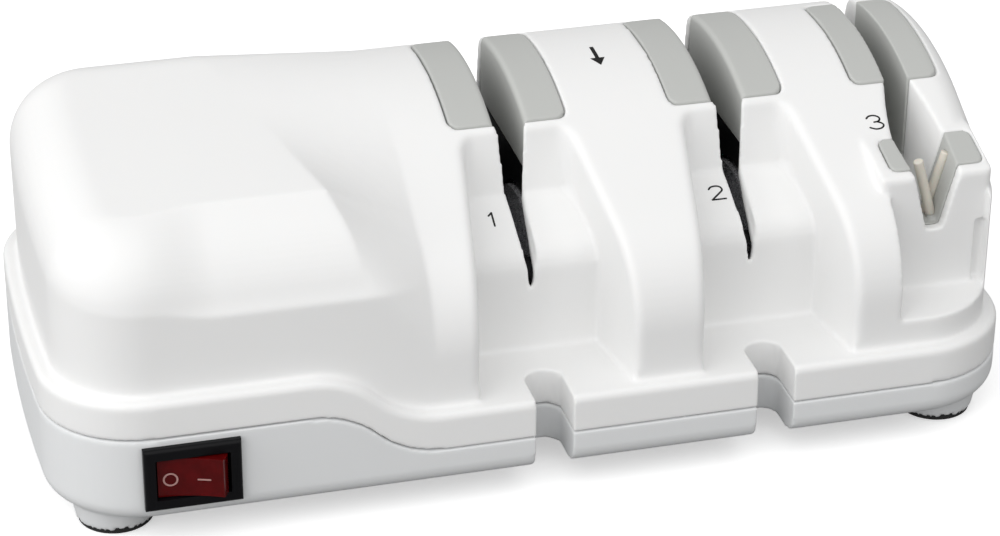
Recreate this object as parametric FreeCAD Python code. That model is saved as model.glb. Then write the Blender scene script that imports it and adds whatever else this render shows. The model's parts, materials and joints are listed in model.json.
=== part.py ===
import FreeCAD, Part

import math
import os

from FreeCAD import Matrix, Vector

# Three-stage electric knife sharpener, in millimetres
# +X runs to the manual stage, -Y is the front, +Z is up; the feet stand on Z = 0

os.makedirs("parts", exist_ok=True)

# Overall form
LENGTH = 220.0
DEPTH = 96.0
CORNER_R = 22.0
END_BOW = 2.5
WALL = 2.4
LEDGE_WIDTH = 3.2
LEDGE_ROUND = 1.4

# Heights
FOOT_HEIGHT = 6.0
SEAM_Z = 15.0
SKIRT_HEIGHT = 8.6
WAVE_RISE = 11.8
WAVE_CREST_X = -54.0
WAVE_TROUGH_X = -25.0
BASE_ROUND = 4.5
SEAM_REVEAL = 0.3
LIP_HEIGHT = 2.0
LIP_CLEARANCE = 0.15
LIP_THICK = 1.2
RIM_DROP = 3.0

# Motor dome
DOME_TOP = 77.0
DOME_TILT = 5.0
DOME_RIM = 14.0
DOME_END_X = -53.0
DOME_SKEW = 0.26
BLEND_END_X = -26.0

# Barrel crown over the stages
CROWN_WALL_TOP = 35.0
SHOULDER_R = 24.0
CROWN_SLOPE = 27.0
CREST_Z = 75.0
CREST_R = 60.0
BACK_SLANT = 12.5
BACK_TOP_Y = DEPTH / 2 - BACK_SLANT
BACK_ROUND = 5.0
END_ROUND = 7.0

# Powered stages
SLOT_1_X = 0.4
STAGE_SHARE = 0.23
STAGE_PITCH = STAGE_SHARE * LENGTH
SLOT_GAP = 7.0
SLOT_KINK_GAP = 3.5
SLOT_TIP_GAP = 0.9
KINK_Y = -10.0
KINK_Z = 54.5
TIP_Y = -27.7
SLOT_LOW_Z = 38.0
SLOT_BACK_Z = 44.0
BAY_SHIFT = 0.8
BAY_BACK_WIDTH = 24.4
BAY_FRONT_WIDTH = 35.0
BAY_CORNER_R = 3.0
BAY_MOUTH_R = 2.0
HUMP_FRONT_Y = -36.0
HUMP_SLOPE = 37.3
HUMP_R = 8.0
POCKET_LEAN = 12.0
FLOOR_DROP = 6.5

# Grey slot liners
LINER_WIDTH = 26.5
LINER_FRONT_Y = -5.0
LINER_BACK_INSET = 2.5
LINER_BACK_Y = BACK_TOP_Y - LINER_BACK_INSET
LINER_THICK = 1.6
LINER_LOW_Z = 58.0
LINER_CORNER_R = 2.5
LINER_MOUTH_R = 1.2
LINER_REVEAL = 0.25
FIT = 0.1
GUIDE_THICK = 1.2
GUIDE_LOW_Z = 42.0
GUIDE_CLEARANCE = 1.0

# Skirt notches below the powered slots
NOTCH_WIDTH = 8.4
NOTCH_SHIFT = -0.7
NOTCH_REACH = 13.5
NOTCH_END_Y = -DEPTH / 2 + NOTCH_REACH
NOTCH_TOP_Z = 32.0

# Manual stage
STAGE_3_INSET = 18.7
STAGE_3_X = LENGTH / 2 - STAGE_3_INSET
STAGE_3_LINER_WIDTH = 20.6
STAGE_3_GAP = 5.6
STAGE_3_FLOOR_Z = 47.0
STAGE_3_PAD_INSET = 6.5
STAGE_3_PAD_BACK_Y = BACK_TOP_Y - STAGE_3_PAD_INSET
BLOCK_WIDTH = 26.2
BLOCK_FRONT_Y = -33.0
BLOCK_BACK_Y = -18.0
BLOCK_TOP_Z = 59.1
BLOCK_STEP_Z = 47.0
NECK_WIDTH = 19.4
NECK_REVEAL = 1.5
SHELF_Z = 31.4
SHELF_FRONT_Z = 30.0
SHELF_LEFT = 11.3
SHELF_RIGHT = 12.2
SHELF_START_X = STAGE_3_X - SHELF_LEFT
SHELF_END_X = STAGE_3_X + SHELF_RIGHT
BLOCK_EDGE_R = 1.5
V_BOTTOM_Z = 45.6
V_BOTTOM_WIDTH = 3.6
V_SLOPE = 0.255
STAGE_WALL = 4.0
CARRIER_THICK = 1.8
CARRIER_LEFT = 9.8
CARRIER_RIGHT = 11.9
CARRIER_CORNER_R = 1.6
CARRIER_FRONT_Y = -30.0
CARRIER_BACK_Y = -20.0
CARRIER_SOCKET_WIDTH = 12.0
CARRIER_LOW_Z = 41.5
ROD_R = 1.15
ROD_LENGTH = 18.5
ROD_ANGLE = 16.0
ROD_STAGGER = 2.7
ROD_SHIFT = 1.6
ROD_CROSS_X = STAGE_3_X + ROD_SHIFT
ROD_CROSS_Z = 46.2
ROD_LOWER = 4.4
ROD_END_ROUND = ROD_R / 3
ROD_STOP_R = 1.3
ROD_STOP_HEIGHT = 0.8

# Spindle and wheels
AXIS_Y = -2.0
AXIS_Z = 31.0
SPINDLE_R = 4.0
SPINDLE_CHAMFER = SPINDLE_R / 6
WHEEL_R = 19.6
WHEEL_WIDTH = 7.0
WHEEL_HUB_R = 8.0
WHEEL_HUB_WIDTH = 3.0
WHEEL_WEB_SLOPE = 1.0
WHEEL_EDGE_GAP = 0.6
GRIND_DEPTH = 6.0
GRIND_ANGLE = 20.0
SPINDLE_START_X = -24.8
SPINDLE_OVERHANG = 21.0
SPINDLE_END_X = SLOT_1_X + STAGE_PITCH + SPINDLE_OVERHANG
RUNNING_CLEARANCE = 0.05
BEARING_R = 8.0
BEARING_WIDTH = 5.0
PLATE_THICK = 4.0
PLATE_WIDTH = 36.0
PLATE_TOP = 12.0
PLATE_RIB = 2.0
PLATE_RIB_HEIGHT = 8.0
PLATE_1_REACH = 14.4
PLATE_2_REACH = 26.6
PLATE_3_REACH = 15.0
PLATE_XS = [SLOT_1_X - PLATE_1_REACH, SLOT_1_X + PLATE_2_REACH, SLOT_1_X + STAGE_PITCH + PLATE_3_REACH]
CIRCLIP_THICK = 1.0
CIRCLIP_WIDTH = 1.6

# Motor
MOTOR_R = 21.0
MOTOR_FRONT_X = -40.0
MOTOR_INSET = 13.0
MOTOR_BACK_X = -LENGTH / 2 + MOTOR_INSET
CAN_WALL = 1.6
MOTOR_BOSS_R = 8.5
BUSH_R = 5.0
MOTOR_BOSS_LENGTH = 4.0
SHAFT_R = 2.5
SHAFT_CHAMFER = SHAFT_R / 5
ARMATURE_R = 15.0
ARMATURE_ENDS = 37.0
ARMATURE_LENGTH = MOTOR_FRONT_X - MOTOR_BACK_X - ARMATURE_ENDS
ARMATURE_FRONT_GAP = 7.0
FIELD_OVERHANG = 2.0
ARMATURE_SLOTS = 8
ARMATURE_SLOT_WIDTH = 2.4
ARMATURE_SLOT_DEPTH = 5.5
AIR_GAP = 0.6
MAGNET_SPAN = 130.0
WINDING_LENGTH = 5.0
WINDING_INSET = 1.0
COMMUTATOR_R = 5.5
COMMUTATOR_LENGTH = 7.0
COMMUTATOR_CUT = 0.6
BRUSH_WIDTH = 4.0
BRUSH_HEIGHT = 4.5
BRUSH_LENGTH = 9.0
BRUSH_AIR = 0.3
END_CAP_LENGTH = 9.0
FAN_R = 17.0
FAN_BLADES = 9
FAN_BLADE_THICK = 1.2
FAN_LENGTH = 5.0
FAN_HUB_R = 5.5
FAN_GAP = 0.6
COUPLING_R = 9.0
COUPLING_LENGTH = 10.0
SHAFT_GAP = 0.4

# Motor mounting
CRADLE_WIDTH = 8.0
CRADLE_WALL = 3.0
CRADLE_1_INSET = 15.0
CRADLE_2_INSET = 12.0
CRADLE_1_X = MOTOR_BACK_X + CRADLE_1_INSET
CRADLE_2_X = MOTOR_FRONT_X - CRADLE_2_INSET
STRAP_THICK = 1.2
STRAP_FOOT = 9.0
STRAP_INSET = 1.0
STRAP_SCREW_LENGTH = 10.0

# Rocker switch
BEZEL_WIDTH = 21.0
BEZEL_HEIGHT = 15.0
BEZEL_PROUD = 1.8
BEZEL_INSET = 30.2
BEZEL_X = -LENGTH / 2 + BEZEL_INSET
BEZEL_Z = 17.6
SWITCH_BODY_WIDTH = 18.6
SWITCH_BODY_HEIGHT = 12.6
SWITCH_BODY_DEPTH = 12.0
SWITCH_WALL = 1.0
ROCKER_HEIGHT = 9.2
ROCKER_GAP = 0.3
ROCKER_PIVOT_DEPTH = 2.6
ROCKER_MIDDLE_RISE = 2.5
ROCKER_END_RISE = 3.45
ROCKER_SWING_R = 7.7
ROCKER_BACK = 3.0
ROCKER_TILT = 14.0
ROCKER_PIN_R = 1.0
ROCKER_PIN = 0.6
TERMINAL_WIDTH = 4.8
TERMINAL_THICK = 0.8
TERMINAL_LENGTH = 5.5
TERMINAL_SHIFT = SWITCH_BODY_WIDTH / 4

# Feet, bosses and screws
FOOT_INSET_X = 15.5
FOOT_INSET_Y = 15.7
FOOT_X = LENGTH / 2 - FOOT_INSET_X
FOOT_Y = DEPTH / 2 - FOOT_INSET_Y
FOOT_R = 9.6
FOOT_TAPER = 1.0
PAD_THICK = 0.7
PAD_INSET = 0.3
PAD_RECESS = 1.3
PAD_ROUND = PAD_THICK / 4
BOSS_R = 4.5
SCREW_R = 1.5
SCREW_HEAD_R = 3.0
SCREW_HEAD_HEIGHT = 2.0
SCREW_HEAD_ROUND = SCREW_HEAD_HEIGHT / 3
SCREW_LENGTH = 16.0
SCREW_SEAT_Z = 9.0
MIDDLE_BOSS_X = 25.5
MIDDLE_BOSS_INSET = 12.0
MIDDLE_BOSS_Y = DEPTH / 2 - MIDDLE_BOSS_INSET

# Vents, cord inlet and small electrical parts
VENT_COUNT = 5
VENT_PITCH = 4.4
VENT_WIDTH = 2.2
VENT_LENGTH = 26.0
GLAND_INSET = 40.0
GLAND_X = -LENGTH / 2 + GLAND_INSET
GLAND_Z = 15.8
GLAND_BORE_R = 3.6
GLAND_R = 6.0
GLAND_FLANGE_R = 7.2
GLAND_PROUD = 4.1
GLAND_GRIP = 1.6
BOARD_CLEARANCE = 1.0
BOARD_LENGTH = CRADLE_2_X - CRADLE_1_X - CRADLE_WIDTH - 2 * BOARD_CLEARANCE
BOARD_WIDTH = 15.0
BOARD_THICK = 1.6
BOARD_INSET = 15.0
BOARD_X = (CRADLE_1_X + CRADLE_2_X) / 2
BOARD_Y = DEPTH / 2 - BOARD_INSET
STANDOFF_HEIGHT = 4.0
STANDOFF_R = 2.5
MAGNET_LENGTH = 16.0
MAGNET_WIDTH = 12.0
MAGNET_THICK = 3.0
MAGNET_INSET = 20.0
MAGNET_Y = DEPTH / 2 - MAGNET_INSET
DIODE_COUNT = 4
DIODE_SHARE = 0.145
DIODE_PITCH = DIODE_SHARE * BOARD_LENGTH
DIODE_R = 1.3
DIODE_LENGTH = 6.0
CAPACITOR_R = 3.0
CAPACITOR_HEIGHT = 9.0
CAPACITOR_SHIFT = BOARD_LENGTH / 4

# Sizes that follow from those above
FAR = LENGTH
OVERRUN = 1.0
NEAR = 0.1
TOUCH = 0.001
FRONT = -DEPTH / 2
BACK = DEPTH / 2
BODY_FRONT = FRONT + LEDGE_WIDTH
BODY_BACK = BACK - LEDGE_WIDTH
LEDGE_Z = SEAM_Z + SKIRT_HEIGHT
SLOT_XS = [SLOT_1_X, SLOT_1_X + STAGE_PITCH]
BAY_TOP_Z = CREST_Z + WALL
FLOOR_Z = FOOT_HEIGHT + WALL


def export(name, shape):
    """Writes one sub-part."""
    shape.exportStep("parts/" + name + ".step")


def box(x0, x1, y0, y1, z0, z1):
    """Box between two corners."""
    return Part.makeBox(x1 - x0, y1 - y0, z1 - z0, Vector(x0, y0, z0))


def cylinder_x(radius, x0, x1, y=AXIS_Y, z=AXIS_Z):
    """Cylinder along X, on the spindle's axis unless told otherwise."""
    return Part.makeCylinder(radius, x1 - x0, Vector(x0, y, z), Vector(1, 0, 0))


def cylinder_z(radius, x, y, z0, z1):
    """Upright cylinder."""
    return Part.makeCylinder(radius, z1 - z0, Vector(x, y, z0))


def ring_x(outer, inner, x0, x1):
    """Ring along X on the spindle's axis."""
    return cylinder_x(outer, x0, x1).cut(cylinder_x(inner, x0 - OVERRUN, x1 + OVERRUN))


def prism(points, direction):
    """Solid pushed from a closed polygon."""
    wire = Part.makePolygon(points + [points[0]])
    return Part.Face(wire).extrude(direction)


def round_edges(shape, radius, wanted):
    """Fillets the edges that the test picks out."""
    return shape.makeFillet(radius, [edge for edge in shape.Edges if wanted(edge)])


def runs_along(edge, axis):
    """Says whether a straight edge runs along an axis, 0, 1 or 2."""
    if not isinstance(edge.Curve, Part.Line):
        return False
    return abs(abs(edge.Curve.Direction[axis]) - 1) < TOUCH ** 2


class Outline:
    """Path of lines and tangent arcs in the YZ plane, steered by a heading in degrees."""

    def __init__(self, y, z, heading):
        self.point = Vector(0, y, z)
        self.start = self.point
        self.heading = math.radians(heading)
        self.edges = []

    def line(self, length):
        end = self.point + Vector(0, math.cos(self.heading), math.sin(self.heading)) * length
        return self.line_to(end.y, end.z)

    def line_to(self, y, z):
        end = Vector(0, y, z)
        self.edges.append(Part.LineSegment(self.point, end).toShape())
        self.point = end
        return self

    def turn(self, heading):
        self.heading = math.radians(heading)
        return self

    def arc(self, radius, turn):
        """Turns left for a positive angle in degrees and right for a negative one."""
        side = math.copysign(1, turn)
        aside = Vector(0, -math.sin(self.heading), math.cos(self.heading))
        centre = self.point + aside * (side * radius)
        spoke = self.point - centre
        ends = []
        for share in (0.5, 1.0):
            angle = math.radians(turn * share)
            y = spoke.y * math.cos(angle) - spoke.z * math.sin(angle)
            z = spoke.y * math.sin(angle) + spoke.z * math.cos(angle)
            ends.append(centre + Vector(0, y, z))
        self.edges.append(Part.Arc(self.point, ends[0], ends[1]).toShape())
        self.point = ends[1]
        self.heading += math.radians(turn)
        return self

    def close(self):
        return self.line_to(self.start.y, self.start.z)

    def wire(self, x=0.0):
        wire = Part.Wire(self.edges)
        wire.translate(Vector(x, 0, 0))
        return wire

    def prism(self, x0, x1):
        return Part.Face(self.wire(x0)).extrude(Vector(x1 - x0, 0, 0))


def plan_prism(inset, z0, z1):
    """Upright prism of the bowed, round-cornered plan, drawn in by an inset."""
    half = LENGTH / 2 - inset
    side = DEPTH / 2 - inset
    corner = half - END_BOW
    front_left = Vector(-corner, -side, z0)
    front_right = Vector(corner, -side, z0)
    back_right = Vector(corner, side, z0)
    back_left = Vector(-corner, side, z0)
    edges = [
        Part.LineSegment(front_left, front_right).toShape(),
        Part.Arc(front_right, Vector(half, 0, z0), back_right).toShape(),
        Part.LineSegment(back_right, back_left).toShape(),
        Part.Arc(back_left, Vector(-half, 0, z0), front_left).toShape(),
    ]
    solid = Part.Face(Part.Wire(edges)).extrude(Vector(0, 0, z1 - z0))
    return round_edges(solid, CORNER_R - inset, lambda edge: runs_along(edge, 2))


def under_wave(lift, low=-1.0):
    """Everything below the seam's wave, raised by a lift."""
    rise = WAVE_RISE
    run = WAVE_TROUGH_X - WAVE_CREST_X
    turn = 2 * math.atan(rise / run)
    radius = run / (2 * math.sin(turn))
    top = SEAM_Z + rise + lift
    bottom = SEAM_Z + lift
    half_x = radius * math.sin(turn / 2)
    half_z = radius * (1 - math.cos(turn / 2))
    crest = Vector(WAVE_CREST_X, -FAR, top)
    trough = Vector(WAVE_TROUGH_X, -FAR, bottom)
    middle = (crest + trough) * 0.5
    edges = [
        Part.Arc(crest, crest + Vector(half_x, 0, -half_z), middle).toShape(),
        Part.Arc(middle, trough + Vector(-half_x, 0, half_z), trough).toShape(),
        Part.makePolygon([
            trough,
            Vector(FAR, -FAR, bottom),
            Vector(FAR, -FAR, low),
            Vector(-FAR, -FAR, low),
            Vector(-FAR, -FAR, top),
            crest,
        ]),
    ]
    return Part.Face(Part.Wire(edges)).extrude(Vector(0, 2 * FAR, 0))


def crown_outline():
    """Barrel section over the stages: wall, shoulder, slope, crest and back."""
    shoulder_turn = 90 - CROWN_SLOPE
    slope = math.radians(CROWN_SLOPE)
    shoulder_z = CROWN_WALL_TOP + SHOULDER_R * math.sin(math.radians(shoulder_turn))
    slope_end_z = CREST_Z - CREST_R * (1 - math.cos(slope))
    slope_length = (slope_end_z - shoulder_z) / math.sin(slope)
    path = Outline(BODY_FRONT, SEAM_Z, 90)
    path.line(CROWN_WALL_TOP - SEAM_Z)
    path.arc(SHOULDER_R, -shoulder_turn)
    path.line(slope_length)
    crest_y = path.point.y + CREST_R * math.sin(slope)
    fall = math.degrees(math.asin((BACK_TOP_Y - crest_y) / CREST_R))
    path.arc(CREST_R, -(CROWN_SLOPE + fall))
    path.line_to(BODY_BACK, SEAM_Z)
    return path.close()


def crest_start():
    """Distance from the front at which the barrel's straight slope meets its crest."""
    slope = math.radians(CROWN_SLOPE)
    shoulder_y = BODY_FRONT + SHOULDER_R * (1 - math.sin(slope))
    shoulder_z = CROWN_WALL_TOP + SHOULDER_R * math.cos(slope)
    crest_z = CREST_Z - CREST_R * (1 - math.cos(slope))
    return shoulder_y + (crest_z - shoulder_z) / math.tan(slope)


def dome_outline(inset=0.0):
    """Section of the motor dome: both walls upright, a tilted top in two runs and two equal rims."""
    tilt = math.radians(DOME_TILT)
    depth = BODY_BACK - BODY_FRONT - 2 * inset
    rim = DOME_RIM - inset
    back_z = DOME_TOP - inset
    front_z = back_z - depth * math.tan(tilt)
    front_reach = rim * math.tan((math.pi / 2 - tilt) / 2)
    back_reach = rim * math.tan((math.pi / 2 + tilt) / 2)
    path = Outline(BODY_FRONT + inset, SEAM_Z, 90)
    path.line(front_z - front_reach - SEAM_Z)
    path.arc(rim, -(90 - DOME_TILT))
    first_run = (crest_start() - path.point.y) / math.cos(tilt)
    path.line(first_run)
    path.line(depth / math.cos(tilt) - front_reach - back_reach - first_run)
    path.arc(rim, -(90 + DOME_TILT))
    path.line_to(BODY_BACK - inset, SEAM_Z)
    return path.close()


def skewed(wire, x):
    """Turns a section into the dome's slanting end plane."""
    shear = Matrix()
    shear.A12 = -DOME_SKEW
    shear.A14 = x
    return wire.transformGeometry(shear)


def dome_end(x):
    """Half space on the motor's side of the dome's slanting end."""
    shift = DOME_SKEW * FAR
    return prism([
        Vector(-2 * FAR, -FAR, -OVERRUN),
        Vector(x + shift, -FAR, -OVERRUN),
        Vector(x - shift, FAR, -OVERRUN),
        Vector(-2 * FAR, FAR, -OVERRUN),
    ], Vector(0, 0, FAR))


def dome_solid(inset=0.0):
    """Dome over the motor, with one rim radius all the way round."""
    tilt = math.tan(math.radians(DOME_TILT))
    block = plan_prism(LEDGE_WIDTH + inset, SEAM_Z, DOME_TOP + WALL)
    back_y = BODY_BACK - inset
    top = DOME_TOP - inset
    front_y = BODY_FRONT + inset
    cutter = prism([
        Vector(-FAR, back_y + FAR, top + tilt * FAR),
        Vector(-FAR, front_y - FAR, top - tilt * (back_y - front_y + FAR)),
        Vector(-FAR, front_y - FAR, 2 * FAR),
        Vector(-FAR, back_y + FAR, 2 * FAR),
    ], Vector(2 * FAR, 0, 0))
    block = block.cut(cutter)
    top_face = max(block.Faces, key=lambda face: face.CenterOfMass.z)
    block = block.makeFillet(DOME_RIM - inset, top_face.Edges)
    return block.common(dome_end(DOME_END_X))


def hump_foot_z():
    """Height at which a bay's hump rises from its floor."""
    slope = math.radians(HUMP_SLOPE)
    run = KINK_Y - HUMP_FRONT_Y - HUMP_R * (1 - math.sin(slope))
    return KINK_Z - run * math.tan(slope) - HUMP_R * math.cos(slope)


def bay_run(path):
    """Adds a bay's floor, hump and pocket face to a path."""
    path.line_to(HUMP_FRONT_Y, hump_foot_z())
    path.turn(90)
    path.arc(HUMP_R, HUMP_SLOPE - 90)
    path.line_to(KINK_Y, KINK_Z)
    lean = math.tan(math.radians(POCKET_LEAN))
    return path.line_to(KINK_Y + (BAY_TOP_Z - KINK_Z) * lean, BAY_TOP_Z)


def bay_outline():
    """Section through a powered stage: floor, hump, pocket face and crown."""
    path = Outline(BODY_FRONT, SEAM_Z, 90)
    path.line_to(BODY_FRONT, hump_foot_z() - FLOOR_DROP)
    bay_run(path)
    path.line_to(BODY_BACK, BAY_TOP_Z)
    path.line_to(BODY_BACK, SEAM_Z)
    return path.close()


def bay_cutter(slot_x):
    """Flared bay in front of a powered slot, above its floor and hump, with rounded inner corners."""
    centre = slot_x + BAY_SHIFT
    fall = FLOOR_DROP / (HUMP_FRONT_Y - BODY_FRONT)
    path = Outline(FRONT, hump_foot_z() - fall * (HUMP_FRONT_Y - FRONT), 0)
    bay_run(path)
    path.line_to(FRONT, BAY_TOP_Z)
    space = path.close().prism(centre - BAY_FRONT_WIDTH, centre + BAY_FRONT_WIDTH)
    flare = (BAY_FRONT_WIDTH - BAY_BACK_WIDTH) / 2 / (KINK_Y - BODY_FRONT)
    back_half = BAY_BACK_WIDTH / 2 - flare * (LINER_BACK_Y - KINK_Y)
    front_half = BAY_FRONT_WIDTH / 2 + flare * (BODY_FRONT - FRONT)
    wedge = prism([
        Vector(centre - front_half, FRONT, 0),
        Vector(centre + front_half, FRONT, 0),
        Vector(centre + back_half, LINER_BACK_Y, 0),
        Vector(centre - back_half, LINER_BACK_Y, 0),
    ], Vector(0, 0, FAR))
    return round_edges(space.common(wedge), BAY_CORNER_R, lambda edge: edge.BoundBox.YMax > FRONT + NEAR
                       and edge.BoundBox.ZMin < BAY_TOP_Z - NEAR)


def skirt():
    """Band between seam and ledge, rounded along the ledge and hollow behind."""
    band = plan_prism(0, SEAM_Z - OVERRUN, LEDGE_Z + WAVE_RISE + OVERRUN)
    band = band.common(under_wave(SKIRT_HEIGHT))

    def on_ledge(edge):
        middle = edge.valueAt((edge.FirstParameter + edge.LastParameter) / 2)
        return middle.z > LEDGE_Z - NEAR and not runs_along(edge, 2)

    return round_edges(band, LEDGE_ROUND, on_ledge).cut(under_wave(0))


def barrel():
    """Barrel-shaped body over the stages, its back edge and right end rounded."""
    end_x = LENGTH / 2 - LEDGE_WIDTH
    solid = crown_outline().prism(BLEND_END_X, end_x)
    solid = round_edges(solid, BACK_ROUND, lambda edge: runs_along(edge, 0)
                        and abs(edge.CenterOfMass.y - BACK_TOP_Y) < NEAR)
    return round_edges(solid, END_ROUND, lambda edge: edge.BoundBox.XMin > end_x - NEAR
                       and edge.CenterOfMass.z > SEAM_Z + NEAR)


def on_mouth(edge, crown, cutter):
    """Says whether an edge lies where a bay breaks through the barrel's skin."""
    middle = Part.Vertex(edge.valueAt((edge.FirstParameter + edge.LastParameter) / 2))
    on_skin = min(face.distToShape(middle)[0] for face in crown.Faces) < TOUCH
    on_bay = min(face.distToShape(middle)[0] for face in cutter.Faces) < TOUCH
    return on_skin and on_bay


def open_bay(crown, slot_x):
    """Cuts one bay into the barrel and rounds its mouth."""
    cutter = bay_cutter(slot_x)
    return round_edges(crown.cut(cutter), BAY_MOUTH_R, lambda edge: on_mouth(edge, crown, cutter))


def blend(crown):
    """Neck that changes the dome's section into the barrel's."""
    start = skewed(dome_outline().wire(), DOME_END_X)
    end = min(crown.Faces, key=lambda face: face.CenterOfMass.x).OuterWire
    return Part.makeLoft([start, end], True, True)


def manual_recess():
    """Space cut from the barrel in front of the manual block, down to its shelf."""
    fall = (SHELF_Z - SHELF_FRONT_Z) / (BLOCK_FRONT_Y - BODY_FRONT)
    back_y = BLOCK_FRONT_Y + NECK_REVEAL
    return prism([
        Vector(SHELF_START_X, back_y, SHELF_Z + fall * NECK_REVEAL),
        Vector(SHELF_START_X, FRONT, SHELF_Z - fall * (BLOCK_FRONT_Y - FRONT)),
        Vector(SHELF_START_X, FRONT, CREST_Z),
        Vector(SHELF_START_X, back_y, CREST_Z),
    ], Vector(SHELF_END_X - SHELF_START_X, 0, 0))


def block_side():
    """Side view of the manual block's head."""
    return [
        Vector(0, BLOCK_FRONT_Y, BLOCK_STEP_Z),
        Vector(0, BLOCK_FRONT_Y, BLOCK_TOP_Z),
        Vector(0, BLOCK_BACK_Y, crown_height(BLOCK_BACK_Y)),
        Vector(0, 0, crown_height(BLOCK_BACK_Y)),
        Vector(0, 0, BLOCK_STEP_Z),
    ]


def manual_block():
    """Projecting block of the manual stage: wide head on a narrower neck."""
    half = BLOCK_WIDTH / 2
    neck = NECK_WIDTH / 2
    head = prism(block_side(), Vector(BLOCK_WIDTH, 0, 0))
    head.translate(Vector(STAGE_3_X - half, 0, 0))
    head = round_edges(head, BLOCK_EDGE_R, lambda edge: edge.CenterOfMass.y < BLOCK_FRONT_Y + NEAR
                       and edge.CenterOfMass.z > BLOCK_STEP_Z + NEAR)
    stem_top = BLOCK_STEP_Z + BLOCK_EDGE_R
    stem = box(STAGE_3_X - neck, STAGE_3_X + neck, BLOCK_FRONT_Y, 0, SHELF_FRONT_Z, stem_top)
    return head.fuse(stem)


def crown_height(y):
    """Height of the barrel's straight slope."""
    slope = math.radians(CROWN_SLOPE)
    start_y = BODY_FRONT + SHOULDER_R * (1 - math.sin(slope))
    start_z = CROWN_WALL_TOP + SHOULDER_R * math.cos(slope)
    return start_z + (y - start_y) * math.tan(slope)


def v_notch(grow, y0, y1):
    """Flared notch of the manual stage, open at the top."""
    reach = CREST_Z - V_BOTTOM_Z
    half = V_BOTTOM_WIDTH / 2 + grow
    low = V_BOTTOM_Z - grow
    return prism([
        Vector(STAGE_3_X - half, y0, low),
        Vector(STAGE_3_X + half, y0, low),
        Vector(STAGE_3_X + half + V_SLOPE * reach, y0, CREST_Z),
        Vector(STAGE_3_X - half - V_SLOPE * reach, y0, CREST_Z),
    ], Vector(0, y1 - y0, 0))


def manual_slot_mouth():
    """Run in which the manual notch narrows to the slot behind it."""
    half = STAGE_3_GAP / 2
    low = STAGE_3_FLOOR_Z
    start = v_notch(0, CARRIER_BACK_Y, CARRIER_BACK_Y + OVERRUN)
    start = min(start.Faces, key=lambda face: face.CenterOfMass.y).OuterWire
    end = Part.makePolygon([Vector(STAGE_3_X + side * half, LINER_FRONT_Y, z)
                            for side, z in ((-1, low), (1, low), (1, CREST_Z), (-1, CREST_Z), (-1, low))])
    return Part.makeLoft([start, end], True, True)


def slot_cutter(slot_x):
    """Knife slot of a powered stage: parallel at the back, closing to a point at the front."""
    half = SLOT_GAP / 2
    kink = SLOT_KINK_GAP / 2
    tip = SLOT_TIP_GAP / 2
    top = CREST_Z + WALL
    front = prism([
        Vector(slot_x - half, LINER_FRONT_Y, SLOT_LOW_Z),
        Vector(slot_x - kink, KINK_Y, SLOT_LOW_Z),
        Vector(slot_x - tip, TIP_Y, SLOT_LOW_Z),
        Vector(slot_x + tip, TIP_Y, SLOT_LOW_Z),
        Vector(slot_x + kink, KINK_Y, SLOT_LOW_Z),
        Vector(slot_x + half, LINER_FRONT_Y, SLOT_LOW_Z),
    ], Vector(0, 0, top - SLOT_LOW_Z))
    back = prism([
        Vector(slot_x - half, LINER_FRONT_Y, top),
        Vector(slot_x - half, LINER_FRONT_Y, KINK_Z),
        Vector(slot_x - kink, LINER_FRONT_Y, SLOT_BACK_Z),
        Vector(slot_x + kink, LINER_FRONT_Y, SLOT_BACK_Z),
        Vector(slot_x + half, LINER_FRONT_Y, KINK_Z),
        Vector(slot_x + half, LINER_FRONT_Y, top),
    ], Vector(0, DEPTH, 0))
    return front.fuse(back)


def crown_band(depth, x0, x1, y0, y1):
    """Layer of the barrel's skin down to a depth, within a plan rectangle."""
    outer = crown_outline().prism(x0, x1)
    inner = Part.Face(crown_outline().wire(x0)).makeOffset2D(-depth).extrude(Vector(x1 - x0, 0, 0))
    return outer.cut(inner).common(box(x0, x1, y0, y1, KINK_Z, CREST_Z + WALL))


def pad(x, width, back_y, grow):
    """Grey skin round a slot, flush with the barrel and rounded at its corners."""
    half = width / 2 + grow
    band = crown_band(LINER_THICK + grow, x - half, x + half, LINER_FRONT_Y - grow, back_y + grow)
    band = round_edges(band, LINER_CORNER_R, lambda edge: edge.BoundBox.XLength < TOUCH
                       and edge.BoundBox.YLength < LINER_THICK
                       and edge.BoundBox.ZLength > LINER_THICK / 2)
    return band.common(barrel())


def liner_box(x, gap, low_z, back_y, grow):
    """Block that holds both walls of a slot liner."""
    half = gap / 2 + LINER_THICK + grow
    block = box(x - half, x + half, LINER_FRONT_Y - grow, back_y + grow, low_z - grow, CREST_Z)
    return block.common(crown_outline().prism(x - half, x + half))


def slot_liner(slot_x, side):
    """One side's liner of a powered slot: pad with a wall down the slot."""
    shape = pad(slot_x, LINER_WIDTH, LINER_BACK_Y, 0)
    shape = shape.fuse(liner_box(slot_x, SLOT_GAP, LINER_LOW_Z, LINER_BACK_Y, 0).common(barrel()))
    inner = slot_x + side * SLOT_GAP / 2
    outer = slot_x + side * LINER_WIDTH
    shape = shape.common(box(min(inner, outer), max(inner, outer), -DEPTH, DEPTH, 0, DEPTH))
    return round_edges(shape, LINER_MOUTH_R, lambda edge: abs(edge.BoundBox.XMin - inner) < TOUCH
                       and edge.BoundBox.XLength < TOUCH
                       and edge.BoundBox.YLength > LINER_THICK
                       and edge.CenterOfMass.z > LINER_LOW_Z + WALL)


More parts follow.
